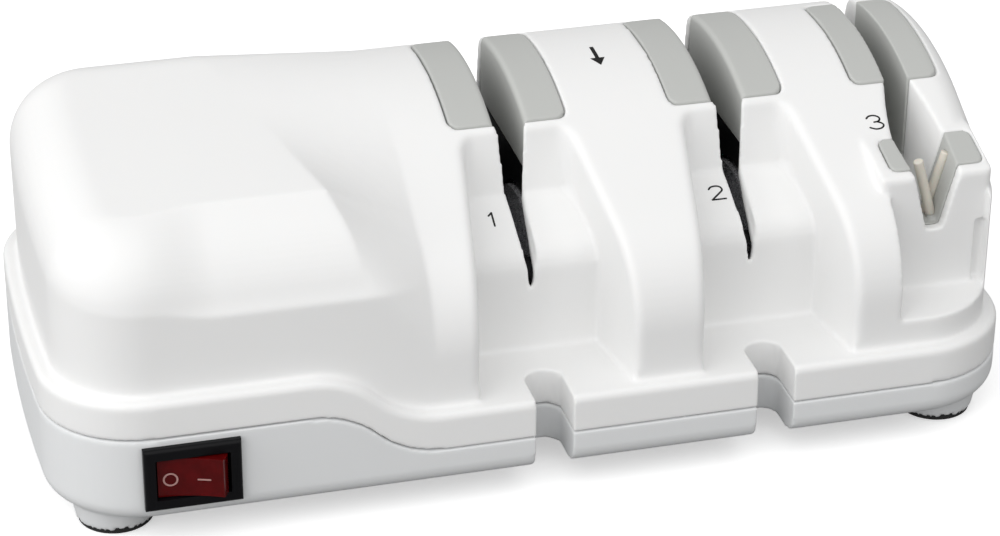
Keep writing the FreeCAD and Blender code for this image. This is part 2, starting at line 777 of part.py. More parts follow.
def manual_liner():
    """One-piece channel that lines the manual slot."""
    shape = pad(STAGE_3_X, STAGE_3_LINER_WIDTH, STAGE_3_PAD_BACK_Y, 0)
    low = STAGE_3_FLOOR_Z - LINER_THICK
    shape = shape.fuse(liner_box(STAGE_3_X, STAGE_3_GAP, low, STAGE_3_PAD_BACK_Y, 0))
    half = STAGE_3_GAP / 2
    return shape.cut(box(STAGE_3_X - half, STAGE_3_X + half, -DEPTH, DEPTH, STAGE_3_FLOOR_Z, DEPTH))


def notch(slot_x, grow, z0, z1):
    """Round-ended notch through skirt and base below a slot."""
    x = slot_x + NOTCH_SHIFT
    radius = NOTCH_WIDTH / 2 + grow
    y = NOTCH_END_Y - NOTCH_WIDTH / 2
    return box(x - radius, x + radius, -DEPTH, y, z0, z1).fuse(cylinder_z(radius, x, y, z0, z1))


def boss_places():
    """Centres of the six screw bosses."""
    feet = [(sx * FOOT_X, sy * FOOT_Y) for sx in (-1, 1) for sy in (-1, 1)]
    return feet + [(MIDDLE_BOSS_X, -MIDDLE_BOSS_Y), (MIDDLE_BOSS_X, MIDDLE_BOSS_Y)]


def inner_section(depth):
    """Section of the space under crown and bays, a depth inside both."""
    crown = Part.Face(crown_outline().wire()).makeOffset2D(-depth)
    bay = Part.Face(bay_outline().wire()).makeOffset2D(-depth)
    return crown.common(bay)


def section_prism(face, x0, x1):
    """Section pushed along X."""
    moved = face.copy()
    moved.translate(Vector(x0, 0, 0))
    return moved.extrude(Vector(x1 - x0, 0, 0))


def upper_hollow():
    """Hollow of the upper housing, less its notch sleeves and screw columns."""
    neck_end = SLOT_1_X + BAY_SHIFT - BAY_FRONT_WIDTH / 2 - STAGE_WALL
    neck_section = Part.Face(crown_outline().wire()).makeOffset2D(-WALL)
    neck_start = DOME_END_X - DOME_SKEW * DEPTH / 2 - WALL
    neck = section_prism(neck_section, neck_start, neck_end)
    stages = section_prism(inner_section(WALL), neck_end - WALL, SHELF_START_X - STAGE_WALL)
    skirt_hollow = plan_prism(WALL, 0, DOME_TOP).common(under_wave(SKIRT_HEIGHT - WALL))
    manual = box(SHELF_START_X - 2 * STAGE_WALL, LENGTH, BLOCK_BACK_Y + WALL, BACK_TOP_Y,
                 SEAM_Z - OVERRUN, STAGE_3_FLOOR_Z - LINER_THICK - WALL)
    manual = manual.common(plan_prism(LEDGE_WIDTH + WALL, 0, DOME_TOP))
    hollow = dome_solid(WALL).fuse([neck, stages, skirt_hollow, manual])
    sleeves = [notch(x, WALL, 0, SHELF_Z) for x in SLOT_XS]
    columns = [cylinder_z(BOSS_R, x, y, SEAM_Z, DOME_TOP) for x, y in boss_places()]
    return hollow.cut(sleeves + columns)


def upper_housing():
    """White upper housing: dome, barrel with its bays, manual block and skirt in one shell."""
    crown = barrel()
    neck = blend(crown)
    for x in SLOT_XS:
        crown = open_bay(crown, x)
    body = dome_solid().fuse([neck, crown])
    body = body.common(plan_prism(LEDGE_WIDTH, SEAM_Z, DOME_TOP + WALL))
    body = body.cut(manual_recess())
    body = body.fuse([manual_block(), skirt()])
    columns = [cylinder_z(BOSS_R, x, y, SEAM_Z, SHELF_FRONT_Z - OVERRUN) for x, y in boss_places()]
    body = body.cut(under_wave(0)).cut(upper_hollow()).fuse(columns)
    cuts = [notch(x, 0, 0, NOTCH_TOP_Z) for x in SLOT_XS]
    for x in SLOT_XS:
        cuts.append(slot_cutter(x))
        cuts.append(pad(x, LINER_WIDTH, LINER_BACK_Y, LINER_REVEAL))
        cuts.append(liner_box(x, SLOT_GAP, LINER_LOW_Z, LINER_BACK_Y, FIT))
    half = STAGE_3_GAP / 2
    cuts.append(box(STAGE_3_X - half, STAGE_3_X + half, LINER_FRONT_Y, DEPTH, STAGE_3_FLOOR_Z, DEPTH))
    cuts.append(manual_slot_mouth())
    cuts.append(pad(STAGE_3_X, STAGE_3_LINER_WIDTH, STAGE_3_PAD_BACK_Y, LINER_REVEAL))
    low = STAGE_3_FLOOR_Z - LINER_THICK
    cuts.append(liner_box(STAGE_3_X, STAGE_3_GAP, low, STAGE_3_PAD_BACK_Y, FIT))
    cuts.append(v_notch(0, -DEPTH, CARRIER_BACK_Y))
    cuts.append(carrier_block(FIT))
    hole_r = SCREW_R + RUNNING_CLEARANCE
    for x, y in boss_places():
        cuts.append(cylinder_z(hole_r, x, y, 0, SCREW_SEAT_Z + SCREW_LENGTH + OVERRUN))
    return body.cut(cuts)


def block_top(y):
    """Height of the manual block's sloping top."""
    share = (y - BLOCK_FRONT_Y) / (BLOCK_BACK_Y - BLOCK_FRONT_Y)
    return BLOCK_TOP_Z + share * (crown_height(BLOCK_BACK_Y) - BLOCK_TOP_Z)


def carrier_block(grow):
    """Space of the rod carrier: top pads, notch lining and rod socket."""
    front = CARRIER_FRONT_Y - grow
    back = CARRIER_BACK_Y + grow
    left = STAGE_3_X - CARRIER_LEFT - grow
    slab = prism([
        Vector(left, front, block_top(front) - CARRIER_THICK - grow),
        Vector(left, back, block_top(back) - CARRIER_THICK - grow),
        Vector(left, back, block_top(back)),
        Vector(left, front, block_top(front)),
    ], Vector(CARRIER_LEFT + CARRIER_RIGHT + 2 * grow, 0, 0))
    slab = round_edges(slab, CARRIER_CORNER_R + grow, lambda edge: runs_along(edge, 2))
    under_top = prism([
        Vector(0, front, 0),
        Vector(0, back, 0),
        Vector(0, back, block_top(back)),
        Vector(0, front, block_top(front)),
    ], Vector(LENGTH, 0, 0))
    lining = v_notch(CARRIER_THICK + grow, front, back).common(under_top)
    socket = CARRIER_SOCKET_WIDTH / 2 + grow
    foot = box(STAGE_3_X - socket, STAGE_3_X + socket, front, back,
               CARRIER_LOW_Z - grow, V_BOTTOM_Z + CARRIER_THICK + grow)
    return slab.fuse([lining, foot])


def ceramic_rod(side, grow):
    """Rod of the manual stage, crossing the other one at the foot of the notch."""
    angle = math.radians(ROD_ANGLE) * side
    along = Vector(math.sin(angle), 0, math.cos(angle))
    y = (CARRIER_FRONT_Y + CARRIER_BACK_Y + side * ROD_STAGGER) / 2
    start = Vector(ROD_CROSS_X, y, ROD_CROSS_Z) - along * (ROD_LOWER + grow)
    rod = Part.makeCylinder(ROD_R + grow, ROD_LENGTH + grow, start, along)
    if grow:
        return rod
    return round_edges(rod, ROD_END_ROUND, lambda edge: edge.BoundBox.ZMin > ROD_CROSS_Z)


def rod_carrier():
    """Grey insert of the manual stage with a stop and sockets for both rods."""
    stop_y = (CARRIER_FRONT_Y + CARRIER_BACK_Y) / 2 - ROD_STAGGER
    stop = cylinder_z(ROD_STOP_R, ROD_CROSS_X, stop_y, CARRIER_LOW_Z, V_BOTTOM_Z + ROD_STOP_HEIGHT)
    stop = round_edges(stop, ROD_STOP_HEIGHT / 2, lambda edge: edge.BoundBox.ZMin > V_BOTTOM_Z)
    shape = carrier_block(0).cut(v_notch(0, -DEPTH, 0)).fuse(stop)
    return shape.cut([ceramic_rod(side, FIT / 2) for side in (-1, 1)])


def knife_guide(slot_x):
    """Black trough under a slot that keeps the blade off the housing, arched over the wheels."""
    half = SLOT_GAP / 2
    outer = half + GUIDE_THICK
    shape = box(slot_x - outer, slot_x + outer, TIP_Y, BACK_TOP_Y, GUIDE_LOW_Z, LINER_LOW_Z - FIT)
    shape = shape.cut(box(slot_x - half, slot_x + half, -DEPTH, DEPTH, GUIDE_LOW_Z + GUIDE_THICK, DEPTH))
    shape = shape.common(section_prism(inner_section(WALL + FIT), slot_x - outer, slot_x + outer))
    return shape.cut(cylinder_x(WHEEL_R + GUIDE_CLEARANCE, slot_x - outer, slot_x + outer))


def lower_housing():
    """White base: tray with rounded bottom edge, feet, bosses, saddles and ribs."""
    shell = plan_prism(0, FOOT_HEIGHT, DOME_TOP)
    shell = round_edges(shell, BASE_ROUND, lambda edge: edge.BoundBox.ZMax < FOOT_HEIGHT + NEAR)
    shell = shell.common(under_wave(-SEAM_REVEAL))
    hollow = plan_prism(WALL, FLOOR_Z, DOME_TOP)
    hollow = hollow.cut([notch(x, WALL, 0, SEAM_Z) for x in SLOT_XS])
    shell = shell.cut(hollow)
    lip_out = WALL + LIP_CLEARANCE
    lip_in = lip_out + LIP_THICK
    core = plan_prism(lip_in, 0, DOME_TOP)
    rim = plan_prism(WALL / 2, 0, DOME_TOP).cut(core)
    rim = rim.common(under_wave(-SEAM_REVEAL)).cut(under_wave(-RIM_DROP))
    lip = plan_prism(lip_out, 0, DOME_TOP).cut(core)
    lip = lip.common(under_wave(LIP_HEIGHT)).cut(under_wave(-RIM_DROP))
    lip = lip.cut([notch(x, WALL + LIP_CLEARANCE, 0, DOME_TOP) for x in SLOT_XS])
    parts = [rim, lip]
    for x, y in boss_places():
        parts.append(cylinder_z(BOSS_R, x, y, FOOT_HEIGHT + OVERRUN, SEAM_Z - FIT))
    for sx in (-1, 1):
        for sy in (-1, 1):
            low = Vector(sx * FOOT_X, sy * FOOT_Y, PAD_THICK)
            parts.append(Part.makeCone(FOOT_R - FOOT_TAPER, FOOT_R, FOOT_HEIGHT - PAD_THICK, low))
            parts.append(cylinder_z(FOOT_R, low.x, low.y, FOOT_HEIGHT, FLOOR_Z))
    saddle = MOTOR_R + CRADLE_WALL
    for x in (CRADLE_1_X, CRADLE_2_X):
        x0 = x - CRADLE_WIDTH / 2
        x1 = x + CRADLE_WIDTH / 2
        reach = saddle + STRAP_FOOT
        rib = box(x0, x1, AXIS_Y - reach, AXIS_Y + reach, FLOOR_Z - OVERRUN, AXIS_Z)
        parts.append(rib.cut(cylinder_x(MOTOR_R + FIT, x0 - OVERRUN, x1 + OVERRUN)))
    for x in PLATE_XS:
        for side in (-1, 1):
            edge = x + side * (PLATE_THICK / 2 + FIT)
            outer = edge + side * PLATE_RIB
            parts.append(box(min(edge, outer), max(edge, outer), AXIS_Y - PLATE_WIDTH / 2,
                             AXIS_Y + PLATE_WIDTH / 2, FLOOR_Z - OVERRUN, FLOOR_Z + PLATE_RIB_HEIGHT))
    for side in (-1, 1):
        x = BOARD_X + side * (BOARD_LENGTH / 2 - STANDOFF_R)
        parts.append(cylinder_z(STANDOFF_R, x, BOARD_Y, FLOOR_Z - OVERRUN, FLOOR_Z + STANDOFF_HEIGHT))
    shell = shell.fuse(parts)
    cuts = [notch(x, 0, 0, NOTCH_TOP_Z) for x in SLOT_XS]
    for x, y in boss_places():
        cuts.append(cylinder_z(SCREW_R + RUNNING_CLEARANCE, x, y, 0, DOME_TOP))
        cuts.append(cylinder_z(SCREW_HEAD_R + FIT, x, y, 0, SCREW_SEAT_Z))
    for sx in (-1, 1):
        for sy in (-1, 1):
            seat = FOOT_R - FOOT_TAPER - PAD_INSET
            cuts.append(cylinder_z(seat, sx * FOOT_X, sy * FOOT_Y, 0, PAD_THICK + PAD_RECESS))
    for x in (CRADLE_1_X, CRADLE_2_X):
        for y in strap_screw_ys():
            hole_z = AXIS_Z - STRAP_SCREW_LENGTH
            cuts.append(cylinder_z(SCREW_R + RUNNING_CLEARANCE, x, y, hole_z, AXIS_Z + OVERRUN))
    for index in range(VENT_COUNT):
        x = (CRADLE_1_X + CRADLE_2_X) / 2 + (index - (VENT_COUNT - 1) / 2) * VENT_PITCH
        vent = box(x - VENT_WIDTH / 2, x + VENT_WIDTH / 2, AXIS_Y - VENT_LENGTH / 2,
                   AXIS_Y + VENT_LENGTH / 2, 0, FLOOR_Z + OVERRUN)
        cuts.append(round_edges(vent, VENT_WIDTH / 2 - FIT, lambda edge: runs_along(edge, 2)))
    half = SWITCH_BODY_WIDTH / 2 + FIT
    high = SWITCH_BODY_HEIGHT / 2 + FIT
    switch_end = FRONT + SWITCH_BODY_DEPTH + TERMINAL_LENGTH + WALL
    cuts.append(box(BEZEL_X - half, BEZEL_X + half, -DEPTH, switch_end, BEZEL_Z - high, BEZEL_Z + high))
    gland_start = Vector(GLAND_X, BODY_BACK - LIP_THICK - WALL, GLAND_Z)
    cuts.append(Part.makeCylinder(GLAND_R + FIT, DEPTH, gland_start, Vector(0, 1, 0)))
    return shell.cut(cuts)


def switch_bezel():
    """Black switch body: proud frame with a hollow box behind it."""
    front = FRONT - BEZEL_PROUD
    frame = box(BEZEL_X - BEZEL_WIDTH / 2, BEZEL_X + BEZEL_WIDTH / 2, front, FRONT,
                BEZEL_Z - BEZEL_HEIGHT / 2, BEZEL_Z + BEZEL_HEIGHT / 2)
    frame = round_edges(frame, BEZEL_PROUD / 2, lambda edge: edge.BoundBox.YMax < FRONT - FIT)
    half = SWITCH_BODY_WIDTH / 2
    high = SWITCH_BODY_HEIGHT / 2
    case = box(BEZEL_X - half, BEZEL_X + half, FRONT - FIT, FRONT + SWITCH_BODY_DEPTH,
               BEZEL_Z - high, BEZEL_Z + high)
    well_x = ROCKER_SWING_R + ROCKER_GAP
    well_z = ROCKER_HEIGHT / 2 + ROCKER_GAP
    well = box(BEZEL_X - well_x, BEZEL_X + well_x, front - OVERRUN, FRONT + SWITCH_BODY_DEPTH - SWITCH_WALL,
               BEZEL_Z - well_z, BEZEL_Z + well_z)
    pin_hole = cylinder_z(ROCKER_PIN_R + RUNNING_CLEARANCE, BEZEL_X, rocker_pivot_y(),
                          BEZEL_Z - well_z - ROCKER_PIN, BEZEL_Z + well_z + ROCKER_PIN)
    return frame.fuse(case).cut([well, pin_hole])


def rocker_pivot_y():
    """Depth of the rocker's pins."""
    return FRONT - BEZEL_PROUD + ROCKER_PIVOT_DEPTH


def rocker_switch():
    """Red rocker with a hollow face, resting with its left end pressed in."""
    y = rocker_pivot_y()
    high = ROCKER_HEIGHT / 2
    reach = ROCKER_SWING_R
    left = Vector(-reach, -ROCKER_END_RISE, -high)
    right = Vector(reach, -ROCKER_END_RISE, -high)
    hollow = Part.Arc(left, Vector(0, -ROCKER_MIDDLE_RISE, -high), right).toShape()
    body = Part.makePolygon([
        right,
        Vector(reach, 0, -high),
        Vector(reach / 2, ROCKER_BACK, -high),
        Vector(-reach / 2, ROCKER_BACK, -high),
        Vector(-reach, 0, -high),
        left,
    ])
    shape = Part.Face(Part.Wire([hollow] + body.Edges)).extrude(Vector(0, 0, ROCKER_HEIGHT))
    shape = shape.common(cylinder_z(ROCKER_SWING_R, 0, 0, -high, high))
    pin_end = high + ROCKER_GAP + ROCKER_PIN - FIT
    shape = shape.fuse(cylinder_z(ROCKER_PIN_R, 0, 0, -pin_end, pin_end))
    shape.rotate(Vector(0, 0, 0), Vector(0, 0, 1), -ROCKER_TILT)
    shape.translate(Vector(BEZEL_X, y, BEZEL_Z))
    return shape


def switch_terminals():
    """Two blade terminals behind the switch."""
    y = FRONT + SWITCH_BODY_DEPTH
    blades = []
    for side in (-1, 1):
        x = BEZEL_X + side * TERMINAL_SHIFT
        blades.append(box(x - TERMINAL_THICK / 2, x + TERMINAL_THICK / 2, y, y + TERMINAL_LENGTH,
                          BEZEL_Z - TERMINAL_WIDTH / 2, BEZEL_Z + TERMINAL_WIDTH / 2))
    return Part.makeCompound(blades)


def foot_pads():
    """Four rubber discs let into the feet."""
    radius = FOOT_R - FOOT_TAPER - PAD_INSET - FIT
    pads = []
    for sx in (-1, 1):
        for sy in (-1, 1):
            disc = cylinder_z(radius, sx * FOOT_X, sy * FOOT_Y, 0, PAD_THICK + PAD_RECESS)
            pads.append(round_edges(disc, PAD_ROUND, lambda edge: edge.BoundBox.ZMax < PAD_THICK / 2))
    return Part.makeCompound(pads)


def screw(x, y, seat_z, length, head):
    """Pan-head screw pointing up from its seat, or down if its length is negative."""
    sign = math.copysign(1, length)
    up = Vector(0, 0, sign)
    seat = Vector(x, y, seat_z)
    cap = Part.makeCylinder(SCREW_HEAD_R, head, seat - up * head, up)
    cap = round_edges(cap, SCREW_HEAD_ROUND, lambda edge: sign * (edge.CenterOfMass.z - seat_z) < -head / 2
                      and isinstance(edge.Curve, Part.Circle))
    return cap.fuse(Part.makeCylinder(SCREW_R, abs(length), seat, up))


def housing_screws():
    """Six screws that hold the base to the upper housing."""
    screws = [screw(x, y, SCREW_SEAT_Z, SCREW_LENGTH, SCREW_HEAD_HEIGHT) for x, y in boss_places()]
    return Part.makeCompound(screws)


def turned(points, axis_y=AXIS_Y, axis_z=AXIS_Z):
    """Solid turned about an axis along X from a half section of (x, radius) points."""
    ring = [Vector(x, 0, radius) for x, radius in points]
    face = Part.Face(Part.makePolygon(ring + [ring[0]]))
    solid = face.revolve(Vector(0, 0, 0), Vector(1, 0, 0), 360)
    solid.translate(Vector(0, axis_y, axis_z))
    return solid


def cord_gland():
    """Black bush in the back wall that the mains lead passes through."""
    inner = BODY_BACK - WALL + LEDGE_WIDTH - FIT
    outer = BACK + FIT
    tip = BACK + GLAND_PROUD
    bush = turned([
        (inner - GLAND_GRIP, GLAND_BORE_R),
        (tip, GLAND_BORE_R),
        (tip, GLAND_R),
        (outer, GLAND_FLANGE_R),
        (outer, GLAND_R),
        (inner, GLAND_R),
        (inner, GLAND_FLANGE_R),
        (inner - GLAND_GRIP, GLAND_FLANGE_R),
    ], 0, 0)
    bush.rotate(Vector(0, 0, 0), Vector(0, 0, 1), 90)
    bush.translate(Vector(GLAND_X, 0, GLAND_Z))
    return bush


def rectifier_board():
    """Circuit board with its rectifier diodes and smoothing capacitor."""
    low = FLOOR_Z + STANDOFF_HEIGHT
    top = low + BOARD_THICK
    shape = box(BOARD_X - BOARD_LENGTH / 2, BOARD_X + BOARD_LENGTH / 2,
                BOARD_Y - BOARD_WIDTH / 2, BOARD_Y + BOARD_WIDTH / 2, low, top)
    parts = []
    for index in range(DIODE_COUNT):
        x = BOARD_X - BOARD_LENGTH / 2 + DIODE_PITCH * (index + 1)
        end = Vector(x, BOARD_Y - DIODE_LENGTH / 2, top + DIODE_R / 2)
        parts.append(Part.makeCylinder(DIODE_R, DIODE_LENGTH, end, Vector(0, 1, 0)))
    parts.append(cylinder_z(CAPACITOR_R, BOARD_X + CAPACITOR_SHIFT, BOARD_Y, low, top + CAPACITOR_HEIGHT))
    return shape.fuse(parts)


def filings_magnets():
    """Magnet blocks on the base behind the wheels that catch the filings."""
    blocks = []
    for x in SLOT_XS:
        blocks.append(box(x - MAGNET_LENGTH / 2, x + MAGNET_LENGTH / 2, MAGNET_Y - MAGNET_WIDTH / 2,
                          MAGNET_Y + MAGNET_WIDTH / 2, FLOOR_Z, FLOOR_Z + MAGNET_THICK))
    return Part.makeCompound(blocks)


def motor_can():
    """Drawn steel can with a bushed boss at its front."""
    back = MOTOR_BACK_X + END_CAP_LENGTH
    front = MOTOR_FRONT_X
    tip = front + MOTOR_BOSS_LENGTH
    bend = CAN_WALL
    return turned([
        (back, MOTOR_R),
        (front - bend, MOTOR_R),
        (front, MOTOR_R - bend),
        (front, MOTOR_BOSS_R),
        (tip, MOTOR_BOSS_R),
        (tip, BUSH_R),
        (front - CAN_WALL, BUSH_R),
        (front - CAN_WALL, MOTOR_R - CAN_WALL),
        (back, MOTOR_R - CAN_WALL),
    ])


def motor_end_cap():
    """Moulded cap with the rear bush seat and both brush holders."""
    back = MOTOR_BACK_X
    front = back + END_CAP_LENGTH
    spigot = MOTOR_R - CAN_WALL - FIT
    cap = turned([
        (back, BUSH_R),
        (back, MOTOR_R - CAN_WALL),
        (back + CAN_WALL, MOTOR_R),
        (front, MOTOR_R),
        (front, spigot),
        (front + CAN_WALL, spigot),
        (front + CAN_WALL, spigot - WALL),
        (front - WALL, spigot - WALL),
        (front - WALL, MOTOR_BOSS_R),
        (front - MOTOR_BOSS_LENGTH, MOTOR_BOSS_R),
        (front - MOTOR_BOSS_LENGTH, BUSH_R),
    ])
    channel = BRUSH_HEIGHT / 2 + FIT
    outer = channel + CAN_WALL / 2
    end = front + COMMUTATOR_LENGTH
    for side in (-1, 1):
        y0 = AXIS_Y + side * (COMMUTATOR_R + CAN_WALL)
        y1 = AXIS_Y + side * (spigot - CAN_WALL)
        holder = box(front - WALL - CAN_WALL, end, min(y0, y1), max(y0, y1), AXIS_Z - outer, AXIS_Z + outer)
        bore = box(end - BRUSH_WIDTH - FIT - CAN_WALL / 2, end - CAN_WALL / 2 + FIT,
                   min(y0, y1) - OVERRUN, max(y0, y1) + OVERRUN, AXIS_Z - channel, AXIS_Z + channel)
        cap = cap.fuse(holder).cut(bore)
    return cap


def motor_brushes():
    """Two carbon brushes pressed against the commutator."""
    end = MOTOR_BACK_X + END_CAP_LENGTH + COMMUTATOR_LENGTH - CAN_WALL / 2
    brushes = []
    for side in (-1, 1):
        y0 = AXIS_Y + side * (COMMUTATOR_R + BRUSH_AIR)
        y1 = y0 + side * BRUSH_LENGTH
        brushes.append(box(end - BRUSH_WIDTH, end, min(y0, y1), max(y0, y1),
                           AXIS_Z - BRUSH_HEIGHT / 2, AXIS_Z + BRUSH_HEIGHT / 2))
    return Part.makeCompound(brushes)


def motor_bushes():
    """Bronze bushes at both ends of the motor shaft."""
    hole = SHAFT_R + RUNNING_CLEARANCE
    back = MOTOR_BACK_X
    tip = MOTOR_FRONT_X + MOTOR_BOSS_LENGTH
    return Part.makeCompound([
        ring_x(BUSH_R, hole, back, back + MOTOR_BOSS_LENGTH),
        ring_x(BUSH_R, hole, tip - MOTOR_BOSS_LENGTH, tip),
    ])


def motor_magnets():
    """Two curved field magnets lining the can."""
    centre = armature_centre()
    x0 = centre - ARMATURE_LENGTH / 2 - FIELD_OVERHANG
    x1 = centre + ARMATURE_LENGTH / 2 + FIELD_OVERHANG
    shell = ring_x(MOTOR_R - CAN_WALL, ARMATURE_R + AIR_GAP, x0, x1)
    spread = math.radians((180 - MAGNET_SPAN) / 2)
    reach = 2 * MOTOR_R
    wedge = prism([
        Vector(x0 - OVERRUN, AXIS_Y, AXIS_Z),
        Vector(x0 - OVERRUN, AXIS_Y + reach * math.cos(spread), AXIS_Z + reach * math.sin(spread)),
        Vector(x0 - OVERRUN, AXIS_Y, AXIS_Z + 2 * reach),
        Vector(x0 - OVERRUN, AXIS_Y - reach * math.cos(spread), AXIS_Z + reach * math.sin(spread)),
    ], Vector(x1 - x0 + 2 * OVERRUN, 0, 0))
    upper = shell.common(wedge)
    lower = upper.copy()
    lower.rotate(Vector(0, AXIS_Y, AXIS_Z), Vector(1, 0, 0), 180)
    return Part.makeCompound([upper, lower])


def motor_straps():
    """Steel bands over the motor with a foot on each side of its saddles."""
    inner = MOTOR_R + FIT
    outer = inner + STRAP_THICK
    saddle = MOTOR_R + CRADLE_WALL
    bands = []
    for x in (CRADLE_1_X, CRADLE_2_X):
        x0 = x - CRADLE_WIDTH / 2 + STRAP_INSET
        x1 = x + CRADLE_WIDTH / 2 - STRAP_INSET
        band = ring_x(outer, inner, x0, x1)
        reach = saddle + STRAP_FOOT - STRAP_INSET
        feet = box(x0, x1, AXIS_Y - reach, AXIS_Y + reach, AXIS_Z, AXIS_Z + STRAP_THICK)
        band = band.fuse(feet.cut(cylinder_x(inner, x0 - OVERRUN, x1 + OVERRUN)))
        band = band.common(box(x0, x1, -DEPTH, DEPTH, AXIS_Z, DEPTH))
        for y in strap_screw_ys():
            band = band.cut(cylinder_z(SCREW_R + RUNNING_CLEARANCE, x, y, 0, DEPTH))
        bands.append(band)
    return Part.makeCompound(bands)


def strap_screw_ys():
    """Places of a strap's two screws across the motor."""
    reach = MOTOR_R + CRADLE_WALL + STRAP_FOOT / 2
    return [AXIS_Y - reach, AXIS_Y + reach]


def strap_screws():
    """Four screws that hold the motor straps down."""
    screws = []
    for x in (CRADLE_1_X, CRADLE_2_X):
        for y in strap_screw_ys():
            screws.append(screw(x, y, AXIS_Z + STRAP_THICK, -STRAP_SCREW_LENGTH, SCREW_HEAD_HEIGHT))
    return Part.makeCompound(screws)


def bearing_plate(x):
    """Upright plate with a round top that carries one spindle bearing."""
    half = PLATE_THICK / 2
    foot = box(x - half, x + half, AXIS_Y - PLATE_WIDTH / 2, AXIS_Y + PLATE_WIDTH / 2,
               FLOOR_Z, AXIS_Z / 2 + PLATE_TOP)
    foot = round_edges(foot, PLATE_TOP / 2,
                       lambda edge: runs_along(edge, 0) and edge.CenterOfMass.z > AXIS_Z / 2)
    neck = box(x - half, x + half, AXIS_Y - PLATE_TOP, AXIS_Y + PLATE_TOP, AXIS_Z / 2, AXIS_Z)
    plate = foot.fuse([neck, cylinder_x(PLATE_TOP, x - half, x + half)])
    return plate.cut(cylinder_x(BEARING_R, x - PLATE_THICK, x + PLATE_THICK))


def spindle_bearings():
    """Three plain bearings of the grinding spindle."""
    half = BEARING_WIDTH / 2
    hole = SPINDLE_R + RUNNING_CLEARANCE
    return Part.makeCompound([ring_x(BEARING_R, hole, x - half, x + half) for x in PLATE_XS])


def armature_centre():
    """Middle of the armature along the motor."""
    return MOTOR_FRONT_X - CAN_WALL - ARMATURE_FRONT_GAP - ARMATURE_LENGTH / 2


def motor_shaft():
    """Motor shaft from the rear bush to the coupling."""
    x0 = MOTOR_BACK_X + FIT
    shaft = cylinder_x(SHAFT_R, x0, SPINDLE_START_X - SHAFT_GAP)
    rims = [edge for edge in shaft.Edges if isinstance(edge.Curve, Part.Circle)]
    return shaft.makeChamfer(SHAFT_CHAMFER, rims)


def slot_bars(x0, x1, width, depth, outer):
    """Radial bars spaced round the armature."""
    bars = []
    for index in range(ARMATURE_SLOTS):
        bar = box(x0, x1, AXIS_Y - width / 2, AXIS_Y + width / 2, AXIS_Z + outer - depth, AXIS_Z + outer)
        bar.rotate(Vector(0, AXIS_Y, AXIS_Z), Vector(1, 0, 0), 360 * index / ARMATURE_SLOTS)
        bars.append(bar)
    return bars


def armature_core():
    """Laminated core with open winding slots."""
    x0 = armature_centre() - ARMATURE_LENGTH / 2
    x1 = x0 + ARMATURE_LENGTH
    core = ring_x(ARMATURE_R, SHAFT_R, x0, x1)
    outer = ARMATURE_R + OVERRUN
    bars = slot_bars(x0 - OVERRUN, x1 + OVERRUN, ARMATURE_SLOT_WIDTH, ARMATURE_SLOT_DEPTH, outer)
    return core.cut(bars)


def armature_windings():
    """Copper windings: bars in the slots joined by end turns."""
    x0 = armature_centre() - ARMATURE_LENGTH / 2
    x1 = x0 + ARMATURE_LENGTH
    reach = x1 + WINDING_LENGTH
    width = ARMATURE_SLOT_WIDTH - 2 * FIT
    depth = ARMATURE_SLOT_DEPTH - 2 * WINDING_INSET - FIT
    outer = ARMATURE_R - WINDING_INSET
    inner = SHAFT_R + WINDING_INSET
    bars = slot_bars(x0 - WINDING_LENGTH / 2, x1 + WINDING_LENGTH / 2, width, depth, outer)
    turns = [turned([
        (x0 - FIT, inner),
        (x0 - FIT, outer),
        (x0 - WINDING_LENGTH / 2, outer),
        (x0 - WINDING_LENGTH, outer - WINDING_INSET),
        (x0 - WINDING_LENGTH, inner),
    ]), turned([
        (x1 + FIT, inner),
        (x1 + FIT, outer),
        (x1 + WINDING_LENGTH / 2, outer),
        (reach, outer - WINDING_INSET),
        (reach, inner),
    ])]
    return turns[0].fuse([turns[1]] + bars)


def commutator():
    """Copper segments that the brushes run on."""
    x0 = MOTOR_BACK_X + END_CAP_LENGTH
    ring = ring_x(COMMUTATOR_R, SHAFT_R, x0, x0 + COMMUTATOR_LENGTH)
    x1 = x0 + COMMUTATOR_LENGTH - OVERRUN
    return ring.cut(slot_bars(x0 - OVERRUN, x1, COMMUTATOR_CUT, OVERRUN, COMMUTATOR_R + COMMUTATOR_CUT))


def cooling_fan():
    """Radial fan between motor and coupling."""
    x0 = MOTOR_FRONT_X + MOTOR_BOSS_LENGTH + FAN_GAP
    x1 = x0 + FAN_LENGTH
    disc = ring_x(FAN_R, SHAFT_R, x1 - FAN_BLADE_THICK, x1)
    fan = disc.fuse(ring_x(FAN_HUB_R, SHAFT_R, x0, x1))
    blades = []
    for index in range(FAN_BLADES):
        blade = box(x0, x1, AXIS_Y - FAN_BLADE_THICK / 2, AXIS_Y + FAN_BLADE_THICK / 2,
                    AXIS_Z + FAN_HUB_R - OVERRUN, AXIS_Z + FAN_R - FIT)
        blade.rotate(Vector(0, AXIS_Y, AXIS_Z), Vector(1, 0, 0), 360 * index / FAN_BLADES)
        blades.append(blade)
    return fan.fuse(blades)


def shaft_coupling():
    """Sleeve that joins motor shaft and spindle."""
    x0 = SPINDLE_START_X - COUPLING_LENGTH / 2
    x1 = SPINDLE_START_X + COUPLING_LENGTH / 2
    edge = SHAFT_R / 2
    return turned([
        (x0, SHAFT_R),
        (x0, COUPLING_R - edge),
        (x0 + edge, COUPLING_R),
        (x1 - edge, COUPLING_R),
        (x1, COUPLING_R - edge),
        (x1, SPINDLE_R),
        (SPINDLE_START_X - SHAFT_GAP / 2, SPINDLE_R),
        (SPINDLE_START_X - SHAFT_GAP / 2, SHAFT_R),
    ])


